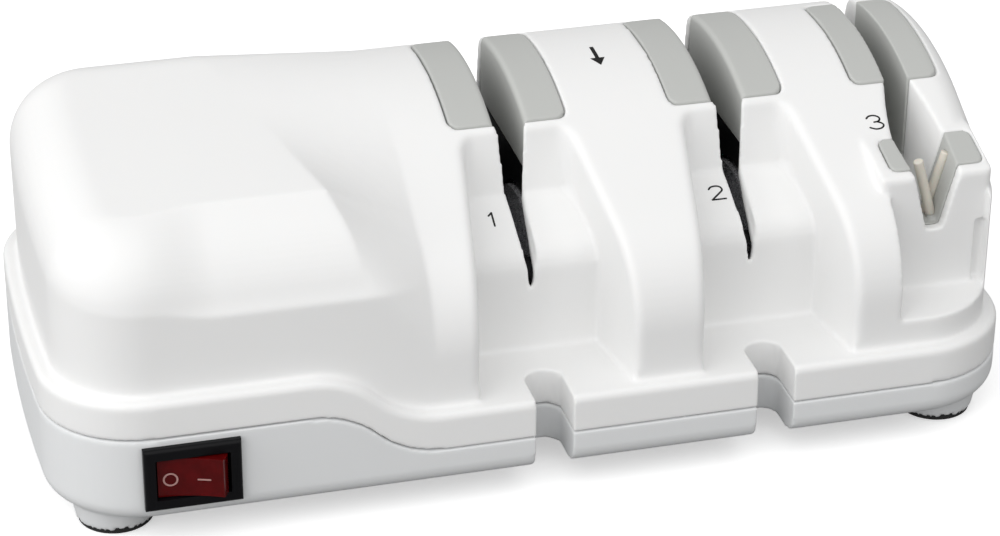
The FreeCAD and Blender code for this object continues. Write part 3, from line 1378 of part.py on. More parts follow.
def grinding_spindle():
    """Steel spindle that carries all four wheels."""
    shaft = cylinder_x(SPINDLE_R, SPINDLE_START_X, SPINDLE_END_X)
    rims = [edge for edge in shaft.Edges if isinstance(edge.Curve, Part.Circle)]
    return shaft.makeChamfer(SPINDLE_CHAMFER, rims)


def wheel(slot_x, side):
    """Grinding wheel with a bevelled rim that faces its partner across the slot."""
    face = slot_x + side * WHEEL_EDGE_GAP / 2
    back = face + side * WHEEL_WIDTH
    slant = GRIND_DEPTH * math.tan(math.radians(GRIND_ANGLE))
    web = back - side * WHEEL_HUB_WIDTH / 2
    rim = WHEEL_R - GRIND_DEPTH
    return turned([
        (slot_x, SPINDLE_R),
        (slot_x, WHEEL_HUB_R),
        (face, WHEEL_HUB_R),
        (face, rim),
        (face + side * slant, WHEEL_R),
        (back, WHEEL_R),
        (back, rim),
        (web, rim - WHEEL_WEB_SLOPE),
        (web, WHEEL_HUB_R + WHEEL_WEB_SLOPE),
        (back, WHEEL_HUB_R),
        (back, SPINDLE_R),
    ])


def wheel_circlips():
    """Open rings that hold each pair of wheels on the spindle."""
    rings = []
    for x in SLOT_XS:
        for side in (-1, 1):
            near = x + side * (WHEEL_EDGE_GAP / 2 + WHEEL_WIDTH)
            far = near + side * CIRCLIP_THICK
            ring = ring_x(SPINDLE_R + CIRCLIP_WIDTH, SPINDLE_R, min(near, far), max(near, far))
            gap = box(min(near, far) - OVERRUN, max(near, far) + OVERRUN, AXIS_Y - CIRCLIP_WIDTH,
                      AXIS_Y + CIRCLIP_WIDTH, AXIS_Z, AXIS_Z + 2 * WHEEL_HUB_R)
            rings.append(ring.cut(gap))
    return Part.makeCompound(rings)


def main():
    """Builds and writes every sub-part."""
    export("upper_housing", upper_housing())
    export("lower_housing", lower_housing())
    for number, slot_x in enumerate(SLOT_XS, 1):
        export("slot_%d_liner_left" % number, slot_liner(slot_x, -1))
        export("slot_%d_liner_right" % number, slot_liner(slot_x, 1))
        export("knife_guide_%d" % number, knife_guide(slot_x))
    export("manual_slot_liner", manual_liner())
    export("rod_carrier", rod_carrier())
    export("ceramic_rod_left", ceramic_rod(-1, 0))
    export("ceramic_rod_right", ceramic_rod(1, 0))
    export("switch_bezel", switch_bezel())
    export("rocker_switch", rocker_switch())
    export("switch_terminals", switch_terminals())
    export("foot_pads", foot_pads())
    export("housing_screws", housing_screws())
    export("cord_gland", cord_gland())
    export("rectifier_board", rectifier_board())
    export("filings_magnets", filings_magnets())
    export("motor_can", motor_can())
    export("motor_end_cap", motor_end_cap())
    export("motor_brushes", motor_brushes())
    export("motor_bushes", motor_bushes())
    export("motor_magnets", motor_magnets())
    export("motor_straps", motor_straps())
    export("strap_screws", strap_screws())
    for number, x in enumerate(PLATE_XS, 1):
        export("bearing_plate_%d" % number, bearing_plate(x))
    export("spindle_bearings", spindle_bearings())
    export("motor_shaft", motor_shaft())
    export("armature_core", armature_core())
    export("armature_windings", armature_windings())
    export("commutator", commutator())
    export("cooling_fan", cooling_fan())
    export("shaft_coupling", shaft_coupling())
    export("grinding_spindle", grinding_spindle())
    for name, slot_x in zip(("coarse", "fine"), SLOT_XS):
        export(name + "_wheel_left", wheel(slot_x, -1))
        export(name + "_wheel_right", wheel(slot_x, 1))
    export("wheel_circlips", wheel_circlips())


main()
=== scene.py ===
import json
import logging
import math
from dataclasses import dataclass
from enum import Enum

import bmesh
import bpy
import numpy as np
from mathutils import Matrix, Vector
from mathutils.bvhtree import BVHTree


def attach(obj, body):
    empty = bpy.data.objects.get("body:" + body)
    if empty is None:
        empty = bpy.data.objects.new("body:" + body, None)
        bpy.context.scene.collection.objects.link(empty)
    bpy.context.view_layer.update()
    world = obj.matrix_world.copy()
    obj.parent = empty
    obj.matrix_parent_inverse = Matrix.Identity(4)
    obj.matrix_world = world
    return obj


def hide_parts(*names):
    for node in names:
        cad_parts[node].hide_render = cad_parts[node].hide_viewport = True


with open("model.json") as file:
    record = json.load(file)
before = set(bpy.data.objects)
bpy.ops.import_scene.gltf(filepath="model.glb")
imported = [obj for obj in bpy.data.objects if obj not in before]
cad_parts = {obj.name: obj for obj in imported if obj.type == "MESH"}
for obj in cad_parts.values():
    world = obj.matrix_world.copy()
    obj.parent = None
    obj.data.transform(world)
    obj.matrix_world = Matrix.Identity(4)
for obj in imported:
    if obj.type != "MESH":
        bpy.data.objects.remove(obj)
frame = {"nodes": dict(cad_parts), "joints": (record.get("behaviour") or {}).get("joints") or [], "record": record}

LOG = logging.getLogger("sharpener")
MM = 0.001
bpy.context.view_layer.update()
MADE: dict[str, bpy.types.Material] = {}
WELD = 0.0005 * MM
TINY = 1e-9
SMALL = 1e-6

Colour = tuple[float, float, float]


class Grain(Enum):
    """How a moulded surface was finished in its tool: width and depth of the grain in millimetres."""

    POLISHED = (0.6, 0.002)
    SATIN = (0.35, 0.004)
    SPARKED = (0.22, 0.012)


class Nodes:
    """A material's node tree with short calls for the nodes that the finishes share."""

    def __init__(self, name: str) -> None:
        """Starts a material.

        Args:
            name: the material's name.
        """
        self.material = bpy.data.materials.new("look_" + name)
        self.material.use_nodes = True
        self.tree = self.material.node_tree
        self.shader = self.tree.nodes["Principled BSDF"]
        self.place = self.tree.nodes.new("ShaderNodeTexCoord")

    def add(self, kind: str, **values: object) -> bpy.types.Node:
        """Adds a node.

        Args:
            kind: Blender's name of the node type.
            values: its properties, or sockets by name with underscores for spaces.

        Returns:
            The new node.
        """
        node = self.tree.nodes.new(kind)
        for key, value in values.items():
            socket = key.replace("_", " ")
            if socket in node.inputs:
                node.inputs[socket].default_value = value
            else:
                setattr(node, key, value)
        return node

    def join(self, source: bpy.types.NodeSocket, target: bpy.types.NodeSocket) -> None:
        """Links two sockets.

        Args:
            source: the output.
            target: the input.
        """
        self.tree.links.new(source, target)

    def noise(self, size: float, detail: float = 2.0) -> bpy.types.Node:
        """Adds solid noise with features of a size in metres.

        Args:
            size: width of one blotch or grain.
            detail: finer octaves on top.

        Returns:
            The noise node.
        """
        node = self.add("ShaderNodeTexNoise", Scale=1.0 / size, Detail=detail, Roughness=0.5)
        self.join(self.place.outputs["Object"], node.inputs["Vector"])
        return node

    def spread(self, source: bpy.types.NodeSocket, low: float, high: float) -> bpy.types.NodeSocket:
        """Maps a 0 to 1 value to a range.

        Args:
            source: the value.
            low: result at 0.
            high: result at 1.

        Returns:
            The mapped value's socket.
        """
        node = self.add("ShaderNodeMapRange", To_Min=low, To_Max=high)
        self.join(source, node.inputs["Value"])
        return node.outputs["Result"]

    def tint(self, source: bpy.types.NodeSocket, first: Colour, second: Colour) -> None:
        """Colours the shader between two colours.

        Args:
            source: the value that mixes them.
            first: colour at 0.
            second: colour at 1.
        """
        ramp = self.add("ShaderNodeValToRGB")
        ramp.color_ramp.elements[0].color = (*first, 1.0)
        ramp.color_ramp.elements[1].color = (*second, 1.0)
        self.join(source, ramp.inputs["Fac"])
        self.join(ramp.outputs["Color"], self.shader.inputs["Base Color"])

    def bump(
        self, source: bpy.types.NodeSocket, depth: float, under: bpy.types.Node | None = None
    ) -> bpy.types.Node:
        """Raises the surface by a height map.

        Args:
            source: heights from 0 to 1.
            depth: height of the map in metres.
            under: a bump node that this one adds to.

        Returns:
            The bump node, linked to the shader.
        """
        node = self.add("ShaderNodeBump", Strength=1.0, Distance=depth)
        self.join(source, node.inputs["Height"])
        if under is not None:
            self.join(under.outputs["Normal"], node.inputs["Normal"])
        self.join(node.outputs["Normal"], self.shader.inputs["Normal"])
        return node


@dataclass(frozen=True)
class MouldedPlastic:
    """Injection-moulded plastic: faint flow marks, tool grain and handling wear."""

    name: str
    colour: Colour
    grain: Grain = Grain.SATIN
    roughness: float = 0.35
    drift: float = 0.012
    gloss: float = 0.5
    flow_size: float = 38 * MM
    rub_size: float = 9 * MM
    wave_size: float = 16 * MM
    wave_depth: float = 0.02 * MM
    rubbed: float = 0.05
    dulled: float = 0.07

    def material(self) -> bpy.types.Material:
        """Makes the material.

        Returns:
            The material.
        """
        nodes = Nodes(self.name)
        width, depth = self.grain.value
        flow = nodes.noise(self.flow_size, 3.0)
        darker = tuple(max(channel - self.drift, 0.0) for channel in self.colour)
        nodes.tint(flow.outputs["Fac"], darker, self.colour)
        rub = nodes.noise(self.rub_size, 4.0)
        rough = nodes.spread(rub.outputs["Fac"], self.roughness - self.rubbed, self.roughness + self.dulled)
        nodes.join(rough, nodes.shader.inputs["Roughness"])
        wave = nodes.bump(nodes.noise(self.wave_size, 1.0).outputs["Fac"], self.wave_depth)
        nodes.bump(nodes.noise(width * MM, 2.0).outputs["Fac"], depth * MM, wave)
        nodes.shader.inputs["Specular IOR Level"].default_value = self.gloss
        return nodes.material


@dataclass(frozen=True)
class WhiteShell(MouldedPlastic):
    """White moulding that lets a little light under its skin."""

    glow: float = 0.06
    glow_radius: Colour = (1.0, 0.9, 0.8)
    glow_depth: float = 1.2 * MM

    def material(self) -> bpy.types.Material:
        """Makes the material.

        Returns:
            The material.
        """
        made = super().material()
        shader = made.node_tree.nodes["Principled BSDF"]
        shader.inputs["Subsurface Weight"].default_value = self.glow
        shader.inputs["Subsurface Radius"].default_value = self.glow_radius
        shader.inputs["Subsurface Scale"].default_value = self.glow_depth
        return made


@dataclass(frozen=True)
class TurnedMetal:
    """Machined or drawn metal with tool rings round the spindle's direction."""

    name: str
    colour: Colour
    roughness: float = 0.3
    pitch: float = 0.25 * MM
    wave_pitches: int = 20
    stain_size: float = 6 * MM
    stain_share: float = 0.82
    rubbed: float = 0.06
    dulled: float = 0.08
    ring_depth: float = 0.004 * MM

    def material(self) -> bpy.types.Material:
        """Makes the material.

        Returns:
            The material.
        """
        nodes = Nodes(self.name)
        nodes.shader.inputs["Metallic"].default_value = 1.0
        stain = nodes.noise(self.stain_size, 4.0)
        dull = tuple(channel * self.stain_share for channel in self.colour)
        nodes.tint(stain.outputs["Fac"], dull, self.colour)
        scale = 1.0 / (self.pitch * self.wave_pitches)
        rings = nodes.add("ShaderNodeTexWave", Scale=scale, Distortion=1.5, Detail=2.0)
        nodes.join(nodes.place.outputs["Object"], rings.inputs["Vector"])
        rough = nodes.spread(rings.outputs["Fac"], self.roughness - self.rubbed, self.roughness + self.dulled)
        nodes.join(rough, nodes.shader.inputs["Roughness"])
        nodes.bump(rings.outputs["Fac"], self.ring_depth)
        return nodes.material


@dataclass(frozen=True)
class DiamondGrit:
    """Steel plated with fine crystals; brighter cells are painted glints of crystals catching the light one by
    one.
    """

    name: str
    colour: Colour
    crystal: float = 0.35 * MM
    glint_gain: float = 2.1
    metal_share: float = 0.75
    smoothest: float = 0.18
    roughest: float = 0.6
    relief: float = 0.12 * MM

    def material(self) -> bpy.types.Material:
        """Makes the material.

        Returns:
            The material.
        """
        nodes = Nodes(self.name)
        cells = nodes.add("ShaderNodeTexVoronoi", Scale=1.0 / self.crystal, Randomness=1.0)
        nodes.join(nodes.place.outputs["Object"], cells.inputs["Vector"])
        # Painted glints: each crystal cell gets a random tint up to this many times brighter, standing in for
        # light caught by the crystals.
        glint_colour = tuple(min(channel * self.glint_gain, 1.0) for channel in self.colour)
        grey = nodes.add("ShaderNodeSeparateColor")
        nodes.join(cells.outputs["Color"], grey.inputs["Color"])
        nodes.tint(grey.outputs["Red"], self.colour, glint_colour)
        nodes.shader.inputs["Metallic"].default_value = self.metal_share
        rough = nodes.spread(grey.outputs["Green"], self.smoothest, self.roughest)
        nodes.join(rough, nodes.shader.inputs["Roughness"])
        nodes.bump(cells.outputs["Distance"], self.relief)
        return nodes.material


@dataclass(frozen=True)
class FiredCeramic:
    """Cream alumina with fine pits and faint grey streaks left by blades."""

    name: str
    colour: Colour
    streak: Colour
    streak_size: float = 4 * MM
    roughness: float = 0.55
    glow: float = 0.1
    glow_depth: float = 0.8 * MM
    pit_size: float = 0.15 * MM
    pit_depth: float = 0.012 * MM

    def material(self) -> bpy.types.Material:
        """Makes the material.

        Returns:
            The material.
        """
        nodes = Nodes(self.name)
        nodes.tint(nodes.noise(self.streak_size, 5.0).outputs["Fac"], self.streak, self.colour)
        nodes.shader.inputs["Roughness"].default_value = self.roughness
        nodes.shader.inputs["Subsurface Weight"].default_value = self.glow
        nodes.shader.inputs["Subsurface Scale"].default_value = self.glow_depth
        nodes.bump(nodes.noise(self.pit_size, 3.0).outputs["Fac"], self.pit_depth)
        return nodes.material


@dataclass(frozen=True)
class TintedClear:
    """Translucent coloured plastic with a mottled depth, as on a lighted rocker."""

    name: str
    colour: Colour
    deep: Colour
    roughness: float = 0.12
    mottle_size: float = 3.2 * MM
    glow: float = 0.35
    glow_radius: Colour = (1.0, 0.15, 0.1)
    glow_depth: float = 2.0 * MM
    gloss: float = 0.15
    coat: float = 0.12
    coat_roughness: float = 0.06
    wave_size: float = 5 * MM
    wave_depth: float = 0.03 * MM

    def material(self) -> bpy.types.Material:
        """Makes the material.

        Returns:
            The material.
        """
        nodes = Nodes(self.name)
        nodes.tint(nodes.noise(self.mottle_size, 3.0).outputs["Fac"], self.deep, self.colour)
        for socket, value in (
            ("Roughness", self.roughness),
            ("Subsurface Weight", self.glow),
            ("Subsurface Radius", self.glow_radius),
            ("Subsurface Scale", self.glow_depth),
            ("Specular IOR Level", self.gloss),
            ("Coat Weight", self.coat),
            ("Coat Roughness", self.coat_roughness),
        ):
            nodes.shader.inputs[socket].default_value = value
        nodes.bump(nodes.noise(self.wave_size, 1.0).outputs["Fac"], self.wave_depth)
        return nodes.material


@dataclass(frozen=True)
class BaseColours:
    """Colours that several finishes share."""

    white: Colour = (0.86, 0.86, 0.855)
    tray: Colour = (0.77, 0.78, 0.785)
    grey: Colour = (0.51, 0.518, 0.50)
    black: Colour = (0.006, 0.006, 0.007)
    red: Colour = (0.12, 0.002, 0.003)


COLOURS = BaseColours()
SHELL = WhiteShell("shell_white", COLOURS.white, Grain.SATIN, 0.46, gloss=0.3)
TRAY = WhiteShell("tray_white", COLOURS.tray, Grain.SATIN, 0.48, gloss=0.3)
LINER = MouldedPlastic("liner_grey", COLOURS.grey, Grain.SPARKED, 0.5, 0.02)
# This black is partly the guides' own colour and partly painted shade: on the knife guides it darkens the deep
# slots, where shade falls.
GUIDE_BLACK_AND_SHADE = MouldedPlastic("guide_black", COLOURS.black, Grain.SPARKED, 0.55, 0.004, 0.2)
BEZEL = MouldedPlastic("bezel_black", COLOURS.black, Grain.SATIN, 0.32, 0.004, 0.15)
ROCKER = TintedClear("rocker_red", COLOURS.red, (0.05, 0.001, 0.001))
PRINT = MouldedPlastic("print_black", (0.015, 0.015, 0.015), Grain.SATIN, 0.45, 0.005)
PINK = MouldedPlastic("print_pink", (0.80, 0.50, 0.47), Grain.SATIN, 0.5, 0.05)
RUBBER = MouldedPlastic("rubber_black", (0.02, 0.02, 0.02), Grain.SPARKED, 0.75, 0.008)
NYLON = MouldedPlastic("nylon_grey", (0.11, 0.115, 0.12), Grain.SPARKED, 0.5, 0.02)
CARBON = MouldedPlastic("carbon_black", (0.025, 0.025, 0.027), Grain.SPARKED, 0.6, 0.01)
FERRITE = MouldedPlastic("ferrite_grey", (0.035, 0.035, 0.038), Grain.SPARKED, 0.55, 0.012)
BOARD = MouldedPlastic("board_green", (0.015, 0.11, 0.04), Grain.SATIN, 0.35, 0.02)
STEEL = TurnedMetal("steel_turned", (0.62, 0.62, 0.63), 0.28)
ZINC = TurnedMetal("steel_zinc", (0.72, 0.71, 0.68), 0.36, 0.6 * MM)
BRONZE = TurnedMetal("bronze_sintered", (0.60, 0.38, 0.18), 0.45)
COPPER = TurnedMetal("copper_wire", (0.74, 0.33, 0.16), 0.3, 0.4 * MM)
GRIT = DiamondGrit("grit_steel", (0.24, 0.24, 0.25))
CERAMIC = FiredCeramic("ceramic_cream", (0.80, 0.76, 0.66), (0.62, 0.59, 0.53))


def body_of(node: str) -> str:
    """Finds the body that carries a node.

    Args:
        node: the node's name.

    Returns:
        The body's name.
    """
    for body, nodes in frame["record"]["behaviour"]["bodies"].items():
        if node in nodes:
            return body
    raise KeyError(node)


def paint(obj: bpy.types.Object, finish: object) -> None:
    """Gives an object one finish.

    Args:
        obj: the object.
        finish: any of the finish classes above.
    """
    if finish.name not in MADE:
        MADE[finish.name] = finish.material()
    made = MADE[finish.name]
    if not obj.material_slots:
        obj.data.materials.append(made)
    for place in obj.material_slots:
        place.material = made


def dress(finish: object, *nodes: str) -> None:
    """Paints CAD nodes that keep their own shape.

    Args:
        finish: their finish.
        nodes: their names.
    """
    for node in nodes:
        paint(frame["nodes"][node], finish)
        LOG.info("node %s dressed as %s", node, finish.name)


def settle(obj: bpy.types.Object, body: str, finish: object) -> None:
    """Paints a new piece, hangs it on its body and logs it.

    Args:
        obj: the piece.
        body: the body that carries it.
        finish: its finish.
    """
    paint(obj, finish)
    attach(obj, body)
    LOG.info("piece %s on %s", obj.name, body)


def baked(obj: bpy.types.Object) -> None:
    """Applies all of an object's modifiers to its mesh.

    Args:
        obj: the object.
    """
    graph = bpy.context.evaluated_depsgraph_get()
    mesh = bpy.data.meshes.new_from_object(obj.evaluated_get(graph))
    obj.modifiers.clear()
    obj.data = mesh


def solid(name: str, sides: list[list[tuple[float, float, float]]]) -> bpy.types.Object:
    """Makes a closed solid through two or more outlines that have equally many points.

    Args:
        name: the object's name.
        sides: outlines of points in millimetres, from one end to the other.

    Returns:
        The object.
    """
    work = bmesh.new()
    rings = [[work.verts.new(Vector(point) * MM) for point in side] for side in sides]
    for ring in (rings[0], rings[-1]):
        work.faces.new(ring)
    for near, far in zip(rings, rings[1:]):
        for a, b, c, d in zip(near, near[1:] + near[:1], far[1:] + far[:1], far):
            work.faces.new((a, b, c, d))
    bmesh.ops.recalc_face_normals(work, faces=work.faces[:])
    mesh = bpy.data.meshes.new(name)
    work.to_mesh(mesh)
    work.free()
    made = bpy.data.objects.new(name, mesh)
    bpy.context.scene.collection.objects.link(made)
    return made


def carve(piece: bpy.types.Object, cutters: list[bpy.types.Object]) -> None:
    """Cuts solids out of a piece and removes them.

    Args:
        piece: the piece.
        cutters: the solids.
    """
    for cutter in cutters:
        cut = piece.modifiers.new("cut", "BOOLEAN")
        cut.operation = "DIFFERENCE"
        cut.solver = "EXACT"
        cut.object = cutter
    baked(piece)
    for cutter in cutters:
        bpy.data.objects.remove(cutter)


@dataclass(frozen=True)
class Bay:
    """Wheel cover of a powered stage: sloping deck, steep rounded front and a flat floor before it."""

    slot_x: float
    shift: float = 0.8
    notch_shift: float = -0.7
    notch_r: float = 4.2
    notch_y: float = -38.7
    kink: tuple[float, float] = (-10.0, 54.5)
    back_half: float = 12.2
    flare: float = 0.1523
    body_y: float = -44.8
    face_y: float = -25.2
    floor_z: float = 23.62
    deck_slope: float = 27.0
    edge_r: float = 7.0
    wall: float = 2.4
    tip_z: float = 38.2
    side_z: float = 39.4
    open_z: float = 62.0
    overlap: float = 0.02
    slit_rise: float = 8.0
    slit_step: float = 3.8
    slit_lead: float = 1.5
    slit_back: tuple[float, float, float] = (1.9, 1.9, 4.0)
    slit_middle: tuple[float, float, float] = (0.5, 1.45, 0.9)
    slit_tip: tuple[float, float, float] = (0.06, 1.25, 0.0)

    def half(self, y: float) -> float:
        """Half the bay's width.

        Args:
            y: the place from front to back, in millimetres.

        Returns:
            Half the width in millimetres.
        """
        return self.back_half + self.flare * (self.kink[0] - y)

    def skin(self, inset: float, steps: int = 10) -> list[tuple[float, float]]:
        """Points (y, z) from the floor's front over the steep face to the kink, drawn in by an inset.

        Args:
            inset: depth under the surface in millimetres.
            steps: runs in the rounded edge.

        Returns:
            The points.
        """
        slope = math.radians(self.deck_slope)
        reach = self.edge_r * math.tan((math.pi / 2 - slope) / 2)
        corner_z = self.kink[1] - (self.kink[0] - self.face_y) * math.tan(slope)
        centre = (self.face_y + self.edge_r, corner_z - reach)
        radius = self.edge_r - inset
        points = [(self.body_y, self.floor_z - inset), (self.face_y + inset, self.floor_z - inset)]
        for step in range(steps + 1):
            angle = math.pi - (math.pi / 2 - slope) * step / steps
            points.append((centre[0] + radius * math.cos(angle), centre[1] + radius * math.sin(angle)))
        points.append((self.kink[0] + inset * math.sin(slope), self.kink[1] - inset * math.cos(slope)))
        return points

    def cutter(self) -> bpy.types.Object:
        """Space in front of the steep face, down to the floor.

        Returns:
            The space's solid.
        """
        centre = self.slot_x + self.shift
        front = 2 * self.body_y - self.face_y
        plan = [(centre + side * (self.half(y) - self.overlap), y) for side, y in (
            (-1, front), (1, front), (1, self.face_y), (-1, self.face_y))]
        return solid("bay_space", [[(x, y, z) for x, y in plan] for z in (self.floor_z, self.open_z)])

    def notch(self, steps: int = 16) -> bpy.types.Object:
        """Round-ended notch in the floor.

        Args:
            steps: runs in the round end.

        Returns:
            The notch's solid.
        """
        x = self.slot_x + self.notch_shift
        plan = [(x - self.notch_r, 2 * self.body_y), (x + self.notch_r, 2 * self.body_y)]
        for step in range(steps + 1):
            angle = math.pi * step / steps
            plan.append((x + self.notch_r * math.cos(angle), self.notch_y + self.notch_r * math.sin(angle)))
        return solid("notch_space", [[(px, py, z) for px, py in plan] for z in (0.0, 2 * self.floor_z)])

    def slot(self) -> bpy.types.Object:
        """Slot that narrows over the deck and runs out to a point down the steep face.

        Each section has half its width at the foot and above the shoulder, and the foot's depth
        below the tip.

        Returns:
            The slot's solid.
        """
        rings = []
        shoulder = self.tip_z + self.slit_rise
        for y, (low, high, drop) in (
            (self.kink[0] + self.wall, self.slit_back),
            (self.face_y + self.slit_step, self.slit_middle),
            (self.face_y - self.slit_lead, self.slit_tip),
        ):
            rings.append([
                (self.slot_x - low, y, self.tip_z - drop), (self.slot_x + low, y, self.tip_z - drop),
                (self.slot_x + high, y, shoulder), (self.slot_x + high, y, self.open_z),
                (self.slot_x - high, y, self.open_z), (self.slot_x - high, y, shoulder),
            ])
        return solid("slot_space", rings)

    def walls(self) -> list[bpy.types.Object]:
        """Cover with its floor, and the side walls that reach down to the floor.

        Returns:
            The solids.
        """
        centre = self.slot_x + self.shift
        outline = self.skin(0.0) + self.skin(self.wall)[::-1]
        wide = self.half(self.body_y) + self.wall
        cover = solid("bay_cover", [[(centre + side * wide, y, z) for y, z in outline] for side in (-1, 1)])
        carve(cover, [self.slot(), self.notch()])
        made = [cover]
        front, back = self.body_y + self.wall, self.face_y + self.wall
        for side in (-1, 1):
            plan = [(centre + side * (self.half(y) + depth), y) for y, depth in (
                (front, 0.0), (back, 0.0), (back, self.wall), (front, self.wall))]
            heights = (self.floor_z - self.wall, self.side_z)
            made.append(solid("bay_side", [[(x, y, z) for x, y in plan] for z in heights]))
        return made


@dataclass(frozen=True)
class Shoulder:
    """Full front shoulder of the motor dome, running out into its left corner and into the neck."""

    front_y: float = -44.8
    corner: tuple[float, float] = (-87.1, -26.0)
    corner_r: float = 18.8
    top_z: float = 69.16
    tilt: float = 5.0
    rim: float = 14.0
    corner_rim: float = 18.0
    full_rim: float = 24.0
    fade: float = 15.0
    end_x: float = -53.0
    skew: float = 0.26
    neck_x: float = -26.0

    def moved(self, points: np.ndarray) -> np.ndarray:
        """Draws the dome's front edge in to the fuller radius.

        Args:
            points: places in millimetres, one per row.

        Returns:
            The new places.
        """
        x, y, z = points.T
        aside = np.maximum(self.corner[0] - x, 0.0)
        ahead = np.maximum(self.corner[1] - y, 0.0)
        reach = np.hypot(aside, ahead) + TINY
        in_corner = aside > 0
        facing = np.where(in_corner, ahead / reach, 1.0)
        inward_x = np.where(in_corner, aside / reach, 0.0)
        depth = np.where(in_corner, self.corner_r - reach, y - self.front_y)
        foot_y = np.where(in_corner, self.corner[1] - self.corner_r * facing, self.front_y)
        slope = math.tan(math.radians(self.tilt))
        edge_z = self.top_z + (foot_y - self.front_y) * slope
        tilt = np.arctan(slope * facing)
        grown = np.clip((x - self.corner[0]) / self.fade, 0.0, 1.0)
        side_rim = self.corner_rim + (self.full_rim - self.corner_rim) * grown ** 2 * (3 - 2 * grown)
        rim = np.where(in_corner, self.rim + (self.corner_rim - self.rim) * facing ** 2, side_rim)
        half_turn = np.tan((math.pi / 2 - tilt) / 2)
        centre_z = edge_z - rim * half_turn
        run, rise = depth - rim, z - centre_z
        length = np.hypot(run, rise) + TINY
        along, upward = run / length, rise / length
        old_z = edge_z - self.rim * half_turn
        to_wall = rim / np.maximum(-along, SMALL)
        to_top = (edge_z + rim * np.tan(tilt) - centre_z) / np.maximum(upward - along * np.tan(tilt), SMALL)
        off_run, off_rise = rim - self.rim, centre_z - old_z
        middle = along * off_run + upward * off_rise
        room = np.maximum(middle ** 2 - (off_run ** 2 + off_rise ** 2 - self.rim ** 2), 0.0)
        to_arc = -middle + np.sqrt(room)
        old = np.minimum(np.minimum(to_wall, to_top), to_arc)
        turning = (rise > 0) & (along * np.cos(tilt) + upward * np.sin(tilt) < 0) & (facing > 0)
        share = np.where(turning, rim / np.maximum(old, rim), 1.0)
        start_x = self.end_x - self.skew * y
        fading = np.clip((x - start_x) / np.maximum(self.neck_x - start_x, 1.0), 0.0, 1.0)
        share = 1.0 + (share - 1.0) * (1.0 - fading)
        pull = run * (share - 1.0)
        return np.stack((x + pull * inward_x, y + pull * facing, z + rise * (share - 1.0)), axis=1)


@dataclass
class SoftMoulding:
    """A CAD moulding remade with the small radii that its tool leaves on every edge."""

    node: str
    finish: object
    voxel: float = 0.5 * MM
    rounds: int = 6
    softness: float = 0.5
    bays: tuple[Bay, ...] = ()
    shoulder: Shoulder | None = None

    def build(self) -> bpy.types.Object:
        """Makes the piece from its node's own shape.

        Returns:
            The piece, which stands for the node.
        """
        source = frame["nodes"][self.node]
        mesh = bpy.data.meshes.new(self.node + "_moulded")
        work = bmesh.new()
        work.from_mesh(source.data)
        work.transform(source.matrix_world)
        bmesh.ops.remove_doubles(work, verts=work.verts, dist=WELD)
        work.to_mesh(mesh)
        work.free()
        piece = bpy.data.objects.new(self.node + "_moulded", mesh)
        bpy.context.scene.collection.objects.link(piece)
        if self.bays:
            carve(piece, [bay.cutter() for bay in self.bays])
            for bay in self.bays:
                self.join(piece, bay.walls())
        remesh = piece.modifiers.new("even", "REMESH")
        remesh.mode = "VOXEL"
        remesh.voxel_size = self.voxel
        remesh.use_smooth_shade = True
        if self.shoulder is not None:
            baked(piece)
            self.reshape(piece)
        smooth = piece.modifiers.new("soft", "SMOOTH")
        smooth.factor = self.softness
        smooth.iterations = self.rounds
        baked(piece)
        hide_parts(self.node)
        settle(piece, body_of(self.node), self.finish)
        return piece

    @staticmethod
    def join(piece: bpy.types.Object, others: list[bpy.types.Object]) -> None:
        """Moves other solids into the piece's mesh.

        Args:
            piece: the piece.
            others: the solids, which are removed.
        """
        work = bmesh.new()
        work.from_mesh(piece.data)
        for other in others:
            work.from_mesh(other.data)
            bpy.data.objects.remove(other)
        work.to_mesh(piece.data)
        work.free()

    def reshape(self, piece: bpy.types.Object) -> None:
        """Moves the vertices of an evenly meshed piece to the shoulder's form.

        Args:
            piece: the piece.
        """
        flat = np.empty(len(piece.data.vertices) * 3)
        piece.data.vertices.foreach_get("co", flat)
        places = self.shoulder.moved(flat.reshape(-1, 3) / MM)
        piece.data.vertices.foreach_set("co", (places * MM).ravel())
        piece.data.update()


@dataclass
class Face:
    """Plane frame laid against a surface, through which printed marks are laid onto it."""

    origin: Vector
    across: Vector
    upward: Vector
    surface: BVHTree
    reach: float = 6.0

    @staticmethod
    def on(origin: tuple, across: tuple, upward: tuple, piece: bpy.types.Object) -> "Face":
        """Makes a frame over a piece.

        Args:
            origin: a point near the surface, in millimetres.
            across: reading direction of the print.
            upward: its upward direction.
            piece: the piece that is printed on.

        Returns:
            The frame.
        """
        points = [piece.matrix_world @ vertex.co for vertex in piece.data.vertices]
        faces = [tuple(face.vertices) for face in piece.data.polygons]
        tree = BVHTree.FromPolygons(points, faces)
        return Face(Vector(origin) * MM, Vector(across).normalized(), Vector(upward).normalized(), tree)

    def drop(self, x: float, y: float, lift: float) -> Vector:
        """Lays a point of the print onto the surface.

        Args:
            x: place across, in millimetres.
            y: place upward, in millimetres.
            lift: height above the surface, in millimetres.

        Returns:
            The place in metres.
        """
        normal = self.across.cross(self.upward)
        start = self.origin + (self.across * x + self.upward * y) * MM
        hit, _, _, _ = self.surface.ray_cast(start + normal * self.reach * MM, -normal)
        return (hit or start) + normal * lift * MM


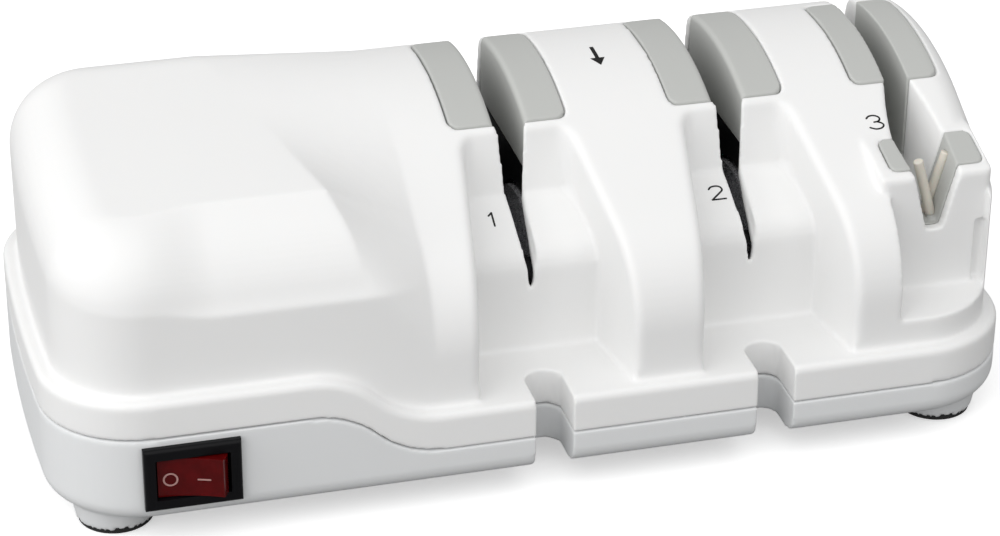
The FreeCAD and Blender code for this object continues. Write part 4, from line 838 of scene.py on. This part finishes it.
@dataclass
class Mark:
    """Shape printed on a surface as one thin film, given by its distance function."""

    name: str
    half_width: float = 2.6
    half_height: float = 2.6
    cell: float = 0.07
    film: float = 0.03

    def distance(self, x: float, y: float) -> float:
        """Distance of a point from the mark's edge, negative inside.

        Args:
            x: place across, in millimetres.
            y: place upward, in millimetres.

        Returns:
            The distance in millimetres.
        """
        raise NotImplementedError

    def contour(self) -> list[list[tuple[float, float]]]:
        """Cuts the mark out of a fine grid.

        Returns:
            Small polygons that together fill the mark.
        """
        wide = round(2 * self.half_width / self.cell)
        high = round(2 * self.half_height / self.cell)
        place = lambda i, j: (i * self.cell - self.half_width, j * self.cell - self.half_height)
        depth = {(i, j): self.distance(*place(i, j)) for i in range(wide + 1) for j in range(high + 1)}
        polygons = []
        for i in range(wide):
            for j in range(high):
                corners = [(i, j), (i + 1, j), (i + 1, j + 1), (i, j + 1)]
                if min(depth[corner] for corner in corners) >= 0:
                    continue
                polygon = []
                for first, second in zip(corners, corners[1:] + corners[:1]):
                    here, there = depth[first], depth[second]
                    if here < 0:
                        polygon.append(place(*first))
                    if (here < 0) != (there < 0):
                        share = here / (here - there)
                        (x0, y0), (x1, y1) = place(*first), place(*second)
                        polygon.append((x0 + (x1 - x0) * share, y0 + (y1 - y0) * share))
                if len(polygon) > 2:
                    polygons.append(polygon)
        return polygons

    def build(self, face: Face, body: str, slot: str, finish: object) -> bpy.types.Object:
        """Prints the mark.

        Args:
            face: where it goes.
            body: the body that carries it.
            slot: the record's material slot; not used.
            finish: its ink.

        Returns:
            The film.
        """
        work = bmesh.new()
        known = {}
        for polygon in self.contour():
            corners = []
            for x, y in polygon:
                key = (round(x, 4), round(y, 4))
                if key not in known:
                    known[key] = work.verts.new(face.drop(x, y, self.film))
                if known[key] not in corners:
                    corners.append(known[key])
            if len(corners) > 2:
                work.faces.new(corners)
        bmesh.ops.solidify(work, geom=work.faces[:], thickness=2 * self.film * MM)
        bmesh.ops.recalc_face_normals(work, faces=work.faces[:])
        mesh = bpy.data.meshes.new(self.name)
        work.to_mesh(mesh)
        work.free()
        piece = bpy.data.objects.new(self.name, mesh)
        bpy.context.scene.collection.objects.link(piece)
        settle(piece, body, finish)
        return piece


@dataclass
class PenMark(Mark):
    """Mark drawn with a round pen along smooth or straight strokes."""

    strokes: tuple = ()
    pen: float = 0.21
    smooth: bool = True

    def __post_init__(self) -> None:
        """Turns the strokes into short straight runs."""
        self.runs = []
        for stroke in self.strokes:
            path = self.rounded(stroke) if self.smooth and len(stroke) > 2 else list(stroke)
            self.runs += list(zip(path, path[1:]))

    @staticmethod
    def rounded(stroke: tuple, steps: int = 8) -> list[tuple[float, float]]:
        """Runs a smooth curve through a stroke's points.

        Args:
            stroke: the points.
            steps: runs between two points.

        Returns:
            Points along the curve.
        """
        ends = [stroke[0], *stroke, stroke[-1]]
        path = []
        for a, b, c, d in zip(ends, ends[1:], ends[2:], ends[3:]):
            for step in range(steps):
                t = step / steps
                path.append(tuple(
                    0.5 * (2 * q + (r - p) * t + (2 * p - 5 * q + 4 * r - s) * t ** 2
                           + (3 * q - p - 3 * r + s) * t ** 3)
                    for p, q, r, s in zip(a, b, c, d)
                ))
        return path + [stroke[-1]]

    def distance(self, x: float, y: float) -> float:
        """Distance from the nearest run, less the pen's radius.

        Args:
            x: place across, in millimetres.
            y: place upward, in millimetres.

        Returns:
            The distance in millimetres.
        """
        best = math.inf
        for (x0, y0), (x1, y1) in self.runs:
            dx, dy = x1 - x0, y1 - y0
            square = dx * dx + dy * dy
            share = max(0.0, min(1.0, ((x - x0) * dx + (y - y0) * dy) / square)) if square else 0.0
            best = min(best, math.hypot(x - x0 - share * dx, y - y0 - share * dy))
        return best - self.pen


@dataclass
class RingMark(Mark):
    """Printed ring."""

    radius: float = 1.42
    pen: float = 0.2

    def distance(self, x: float, y: float) -> float:
        """Distance from the ring's middle line, less the pen's radius.

        Args:
            x: place across, in millimetres.
            y: place upward, in millimetres.

        Returns:
            The distance in millimetres.
        """
        return abs(math.hypot(x, y) - self.radius) - self.pen


@dataclass
class ArrowMark(Mark):
    """Solid arrow that points down its own frame."""

    half_height: float = 4.4
    shaft: float = 0.46
    head: float = 1.72
    head_length: float = 3.1
    reach: float = 4.15
    overlap: float = 0.3

    def distance(self, x: float, y: float) -> float:
        """Distance from the edge of shaft and head together.

        Args:
            x: place across, in millimetres.
            y: place upward, in millimetres.

        Returns:
            The distance in millimetres.
        """
        base = self.head_length - self.reach
        shaft = max(abs(x) - self.shaft, y - self.reach, base - self.overlap - y)
        slant = math.atan2(self.head, self.head_length)
        side = (abs(x) - self.head) * math.cos(slant) - (y - base) * math.sin(slant)
        return min(shaft, max(side, y - base))


@dataclass
class Studio:
    """Floor, lights, surroundings and the camera of the photograph."""

    target: Vector = Vector((-1.64, -6.0, 34.1))
    azimuth: float = -15.0
    elevation: float = 28.5
    roll: float = 0.3
    distance: float = 720.65
    lens: float = 115.2
    sensor: float = 36.0
    floor_half: float = 3.0
    floor_tones: tuple[float, float] = (0.86, 0.88)
    floor_roughness: float = 0.9
    floor_glow: float = 0.45
    floor_bounce: float = 0.3
    blotch: float = 60 * MM
    sky: float = 0.56
    lamp_size: float = 1.8
    key_power: float = 8.0
    key_place: tuple[float, float, float] = (0.05, -0.9, 1.1)
    side_power: float = 15.0
    side_place: tuple[float, float, float] = (-1.14, -0.31, 0.55)

    def camera(self) -> None:
        """Stands the camera where the photograph was taken."""
        azimuth, elevation, roll = (math.radians(a) for a in (self.azimuth, self.elevation, self.roll))
        back = Vector((
            math.sin(azimuth) * math.cos(elevation),
            -math.cos(azimuth) * math.cos(elevation),
            math.sin(elevation),
        ))
        right = Vector((math.cos(azimuth), math.sin(azimuth), 0.0))
        up = back.cross(right)
        side = right * math.cos(roll) + up * math.sin(roll)
        top = up * math.cos(roll) - right * math.sin(roll)
        matrix = Matrix((side, top, back)).transposed().to_4x4()
        matrix.translation = (self.target + back * self.distance) * MM
        data = bpy.data.cameras.new("camera")
        data.lens = self.lens
        data.sensor_width = self.sensor
        camera = bpy.data.objects.new("camera", data)
        camera.matrix_world = matrix
        bpy.context.scene.collection.objects.link(camera)
        bpy.context.scene.camera = camera

    def lamp(self, name: str, power: float, place: tuple[float, float, float]) -> None:
        """Adds a square soft light that looks at the object.

        Args:
            name: the light's name.
            power: its power in watts.
            place: where it hangs, in metres.
        """
        data = bpy.data.lights.new(name, "AREA")
        data.size = self.lamp_size
        data.energy = power
        light = bpy.data.objects.new(name, data)
        light.location = place
        light.rotation_euler = (Vector(place) - self.target * MM).to_track_quat("Z", "Y").to_euler()
        bpy.context.scene.collection.objects.link(light)

    def surroundings(self) -> None:
        """Lights the object evenly and shows white behind it."""
        world = bpy.data.worlds.new("surroundings")
        bpy.context.scene.world = world
        world.use_nodes = True
        tree = world.node_tree
        plain = tree.nodes["Background"]
        plain.inputs["Color"].default_value = (1.0, 1.0, 1.0, 1.0)
        plain.inputs["Strength"].default_value = self.sky
        white = tree.nodes.new("ShaderNodeBackground")
        white.inputs["Strength"].default_value = 1.0
        rays = tree.nodes.new("ShaderNodeLightPath")
        either = tree.nodes.new("ShaderNodeMath")
        either.operation = "MAXIMUM"
        tree.links.new(rays.outputs["Is Camera Ray"], either.inputs[0])
        tree.links.new(rays.outputs["Is Transmission Ray"], either.inputs[1])
        mix = tree.nodes.new("ShaderNodeMixShader")
        tree.links.new(either.outputs[0], mix.inputs["Fac"])
        tree.links.new(plain.outputs[0], mix.inputs[1])
        tree.links.new(white.outputs[0], mix.inputs[2])
        tree.links.new(mix.outputs[0], tree.nodes["World Output"].inputs["Surface"])

    def floor(self) -> None:
        """Lays a pale floor that keeps the object's shadow."""
        half = self.floor_half
        mesh = bpy.data.meshes.new("floor")
        corners = [(-half, -half, 0), (half, -half, 0), (half, half, 0), (-half, half, 0)]
        mesh.from_pydata(corners, [], [(0, 1, 2, 3)])
        floor = bpy.data.objects.new("floor", mesh)
        bpy.context.scene.collection.objects.link(floor)
        nodes = Nodes("floor_paper")
        nodes.shader.inputs["Roughness"].default_value = self.floor_roughness
        darker, paler = ((tone, tone, tone) for tone in self.floor_tones)
        nodes.tint(nodes.noise(self.blotch, 2.0).outputs["Fac"], darker, paler)
        rays = nodes.add("ShaderNodeLightPath")
        glow = nodes.add("ShaderNodeEmission", Strength=self.floor_glow)
        both = nodes.add("ShaderNodeAddShader")
        nodes.join(nodes.shader.outputs[0], both.inputs[0])
        nodes.join(glow.outputs[0], both.inputs[1])
        dim = nodes.add("ShaderNodeBsdfDiffuse", Color=(*[self.floor_bounce] * 3, 1.0))
        mix = nodes.add("ShaderNodeMixShader")
        nodes.join(rays.outputs["Is Camera Ray"], mix.inputs["Fac"])
        nodes.join(dim.outputs[0], mix.inputs[1])
        nodes.join(both.outputs[0], mix.inputs[2])
        nodes.join(mix.outputs[0], nodes.tree.nodes["Material Output"].inputs["Surface"])
        mesh.materials.append(nodes.material)

    def build(self) -> None:
        """Sets the whole studio up."""
        bpy.context.scene.view_settings.view_transform = "Standard"
        self.camera()
        self.surroundings()
        self.floor()
        self.lamp("key", self.key_power, self.key_place)
        self.lamp("side", self.side_power, self.side_place)
        LOG.info("studio ready")


@dataclass
class Housing:
    """White upper shell, white base tray and what closes them."""

    voxel: float = 0.5 * MM
    slot_xs: tuple[float, float] = (0.4, 51.0)
    slope: float = 27.0
    one_place: tuple[float, float, float] = (-5.8, -15.4, 51.75)
    two_place: tuple[float, float, float] = (45.9, -15.4, 51.75)
    three_place: tuple[float, float, float] = (82.8, -15.2, 64.8)
    arrow_place: tuple[float, float, float] = (25.9, 13.8, 74.9)

    def number(self, shell: bpy.types.Object) -> None:
        """Prints the stage numbers and the draw arrow.

        Args:
            shell: the upper moulding.
        """
        one = PenMark("number_1", strokes=(((0.0, 1.8), (0.0, -1.8)), ((0.0, 1.8), (-0.8, 1.05))))
        two = PenMark("number_2", strokes=(
            ((-1.6, 1.15), (-1.1, 1.65), (-0.3, 1.85), (0.5, 1.8), (1.1, 1.5), (1.42, 0.85), (1.2, 0.35)),
            ((1.2, 0.35), (-1.5, -1.8)),
            ((-1.5, -1.8), (1.7, -1.8)),
        ))
        three = PenMark("number_3", strokes=(
            ((-1.75, 1.2), (-1.1, 1.75), (0.0, 1.85), (0.95, 1.45), (1.25, 0.8), (0.8, 0.15), (-0.25, 0.0)),
            ((0.3, 0.05), (1.3, -0.4), (1.7, -1.1), (1.0, -1.8), (-0.3, -1.95), (-1.6, -1.4)),
        ))
        for mark, place, slope in (
            (one, self.one_place, self.slope),
            (two, self.two_place, self.slope),
            (three, self.three_place, self.slope),
            (ArrowMark("draw_arrow"), self.arrow_place, 0.0),
        ):
            rise = math.radians(slope)
            face = Face.on(place, (1, 0, 0), (0.0, math.cos(rise), math.sin(rise)), shell)
            mark.build(face, "housing", "guide_black", PRINT)

    def build(self) -> None:
        """Makes both mouldings and dresses their small parts."""
        bays = tuple(Bay(x) for x in self.slot_xs)
        shell = SoftMoulding("upper_housing", SHELL, self.voxel, bays=bays, shoulder=Shoulder()).build()
        self.number(shell)
        SoftMoulding("lower_housing", TRAY, self.voxel).build()
        dress(RUBBER, "foot_pads")
        dress(STEEL, "housing_screws")
        dress(BEZEL, "cord_gland")


@dataclass
class PoweredStages:
    """Grey slot liners, black guides that also stand in as painted shade deep in the slots, and grinding wheels of
    the powered stages.
    """

    count: int = 2
    voxel: float = 0.3 * MM

    def build(self) -> None:
        """Makes the liners soft-edged and dresses the rest."""
        for number in range(1, self.count + 1):
            for side in ("left", "right"):
                SoftMoulding(f"slot_{number}_liner_{side}", LINER, self.voxel, 3).build()
            # Painted shade in part: the black knife guides darken the depths of the slots, where shade falls.
            dress(GUIDE_BLACK_AND_SHADE, f"knife_guide_{number}")
        for grade in ("coarse", "fine"):
            dress(GRIT, grade + "_wheel_left", grade + "_wheel_right")


@dataclass
class ManualStage:
    """Grey channel, rod carrier and crossed ceramic rods."""

    voxel: float = 0.3 * MM

    def build(self) -> None:
        """Makes the grey mouldings soft-edged and dresses the rods."""
        SoftMoulding("manual_slot_liner", LINER, self.voxel, 3).build()
        SoftMoulding("rod_carrier", LINER, self.voxel, 2).build()
        dress(CERAMIC, "ceramic_rod_left", "ceramic_rod_right")


@dataclass
class Switch:
    """Black bezel and red rocker with its printed ring and bar."""

    tilt: float = 14.0
    ring_place: tuple[float, float] = (-4.3, -0.45)
    bar_place: tuple[float, float] = (2.8, -0.6)
    stand_off: float = 3.0

    def letter(self) -> None:
        """Prints the off ring and the on bar onto the rocker."""
        turn = math.radians(-self.tilt)
        along = Vector((math.cos(turn), math.sin(turn), 0.0))
        front = Vector((math.sin(turn), -math.cos(turn), 0.0))
        joint = next(joint for joint in frame["joints"] if joint["name"] == "rocker_tilt")
        pivot = Vector(joint["pos_m"]) / MM
        rocker = frame["nodes"]["rocker_switch"]
        for mark, (x, z) in (
            (RingMark("off_ring"), self.ring_place),
            (PenMark("on_bar", strokes=(((-1.25, 0.0), (1.25, 0.0)),), pen=0.2), self.bar_place),
        ):
            origin = pivot + front * self.stand_off + along * x + Vector((0.0, 0.0, z))
            mark.build(Face.on(tuple(origin), tuple(along), (0, 0, 1), rocker), "rocker", "rocker_red", PINK)

    def build(self) -> None:
        """Dresses the switch."""
        self.letter()
        dress(BEZEL, "switch_bezel")
        dress(ROCKER, "rocker_switch")
        dress(ZINC, "switch_terminals")


@dataclass
class DriveTrain:
    """Motor, coupling, spindle and what carries them."""

    def build(self) -> None:
        """Dresses the inner parts."""
        dress(ZINC, "motor_can", "motor_straps")
        dress(GUIDE_BLACK_AND_SHADE, "motor_end_cap", "cooling_fan")
        dress(CARBON, "motor_brushes")
        dress(BRONZE, "motor_bushes", "spindle_bearings")
        dress(FERRITE, "motor_magnets", "filings_magnets")
        dress(STEEL, "motor_shaft", "armature_core", "grinding_spindle", "wheel_circlips", "strap_screws")
        dress(COPPER, "armature_windings", "commutator")
        dress(NYLON, "shaft_coupling", "bearing_plate_1", "bearing_plate_2", "bearing_plate_3")
        dress(BOARD, "rectifier_board")


def main() -> None:
    """Builds every sub-assembly in order."""
    logging.basicConfig(level=logging.INFO, format="%(name)s: %(message)s")
    for assembly in (Studio(), Housing(), PoweredStages(), ManualStage(), Switch(), DriveTrain()):
        assembly.build()


if __name__ == "__main__":
    main()
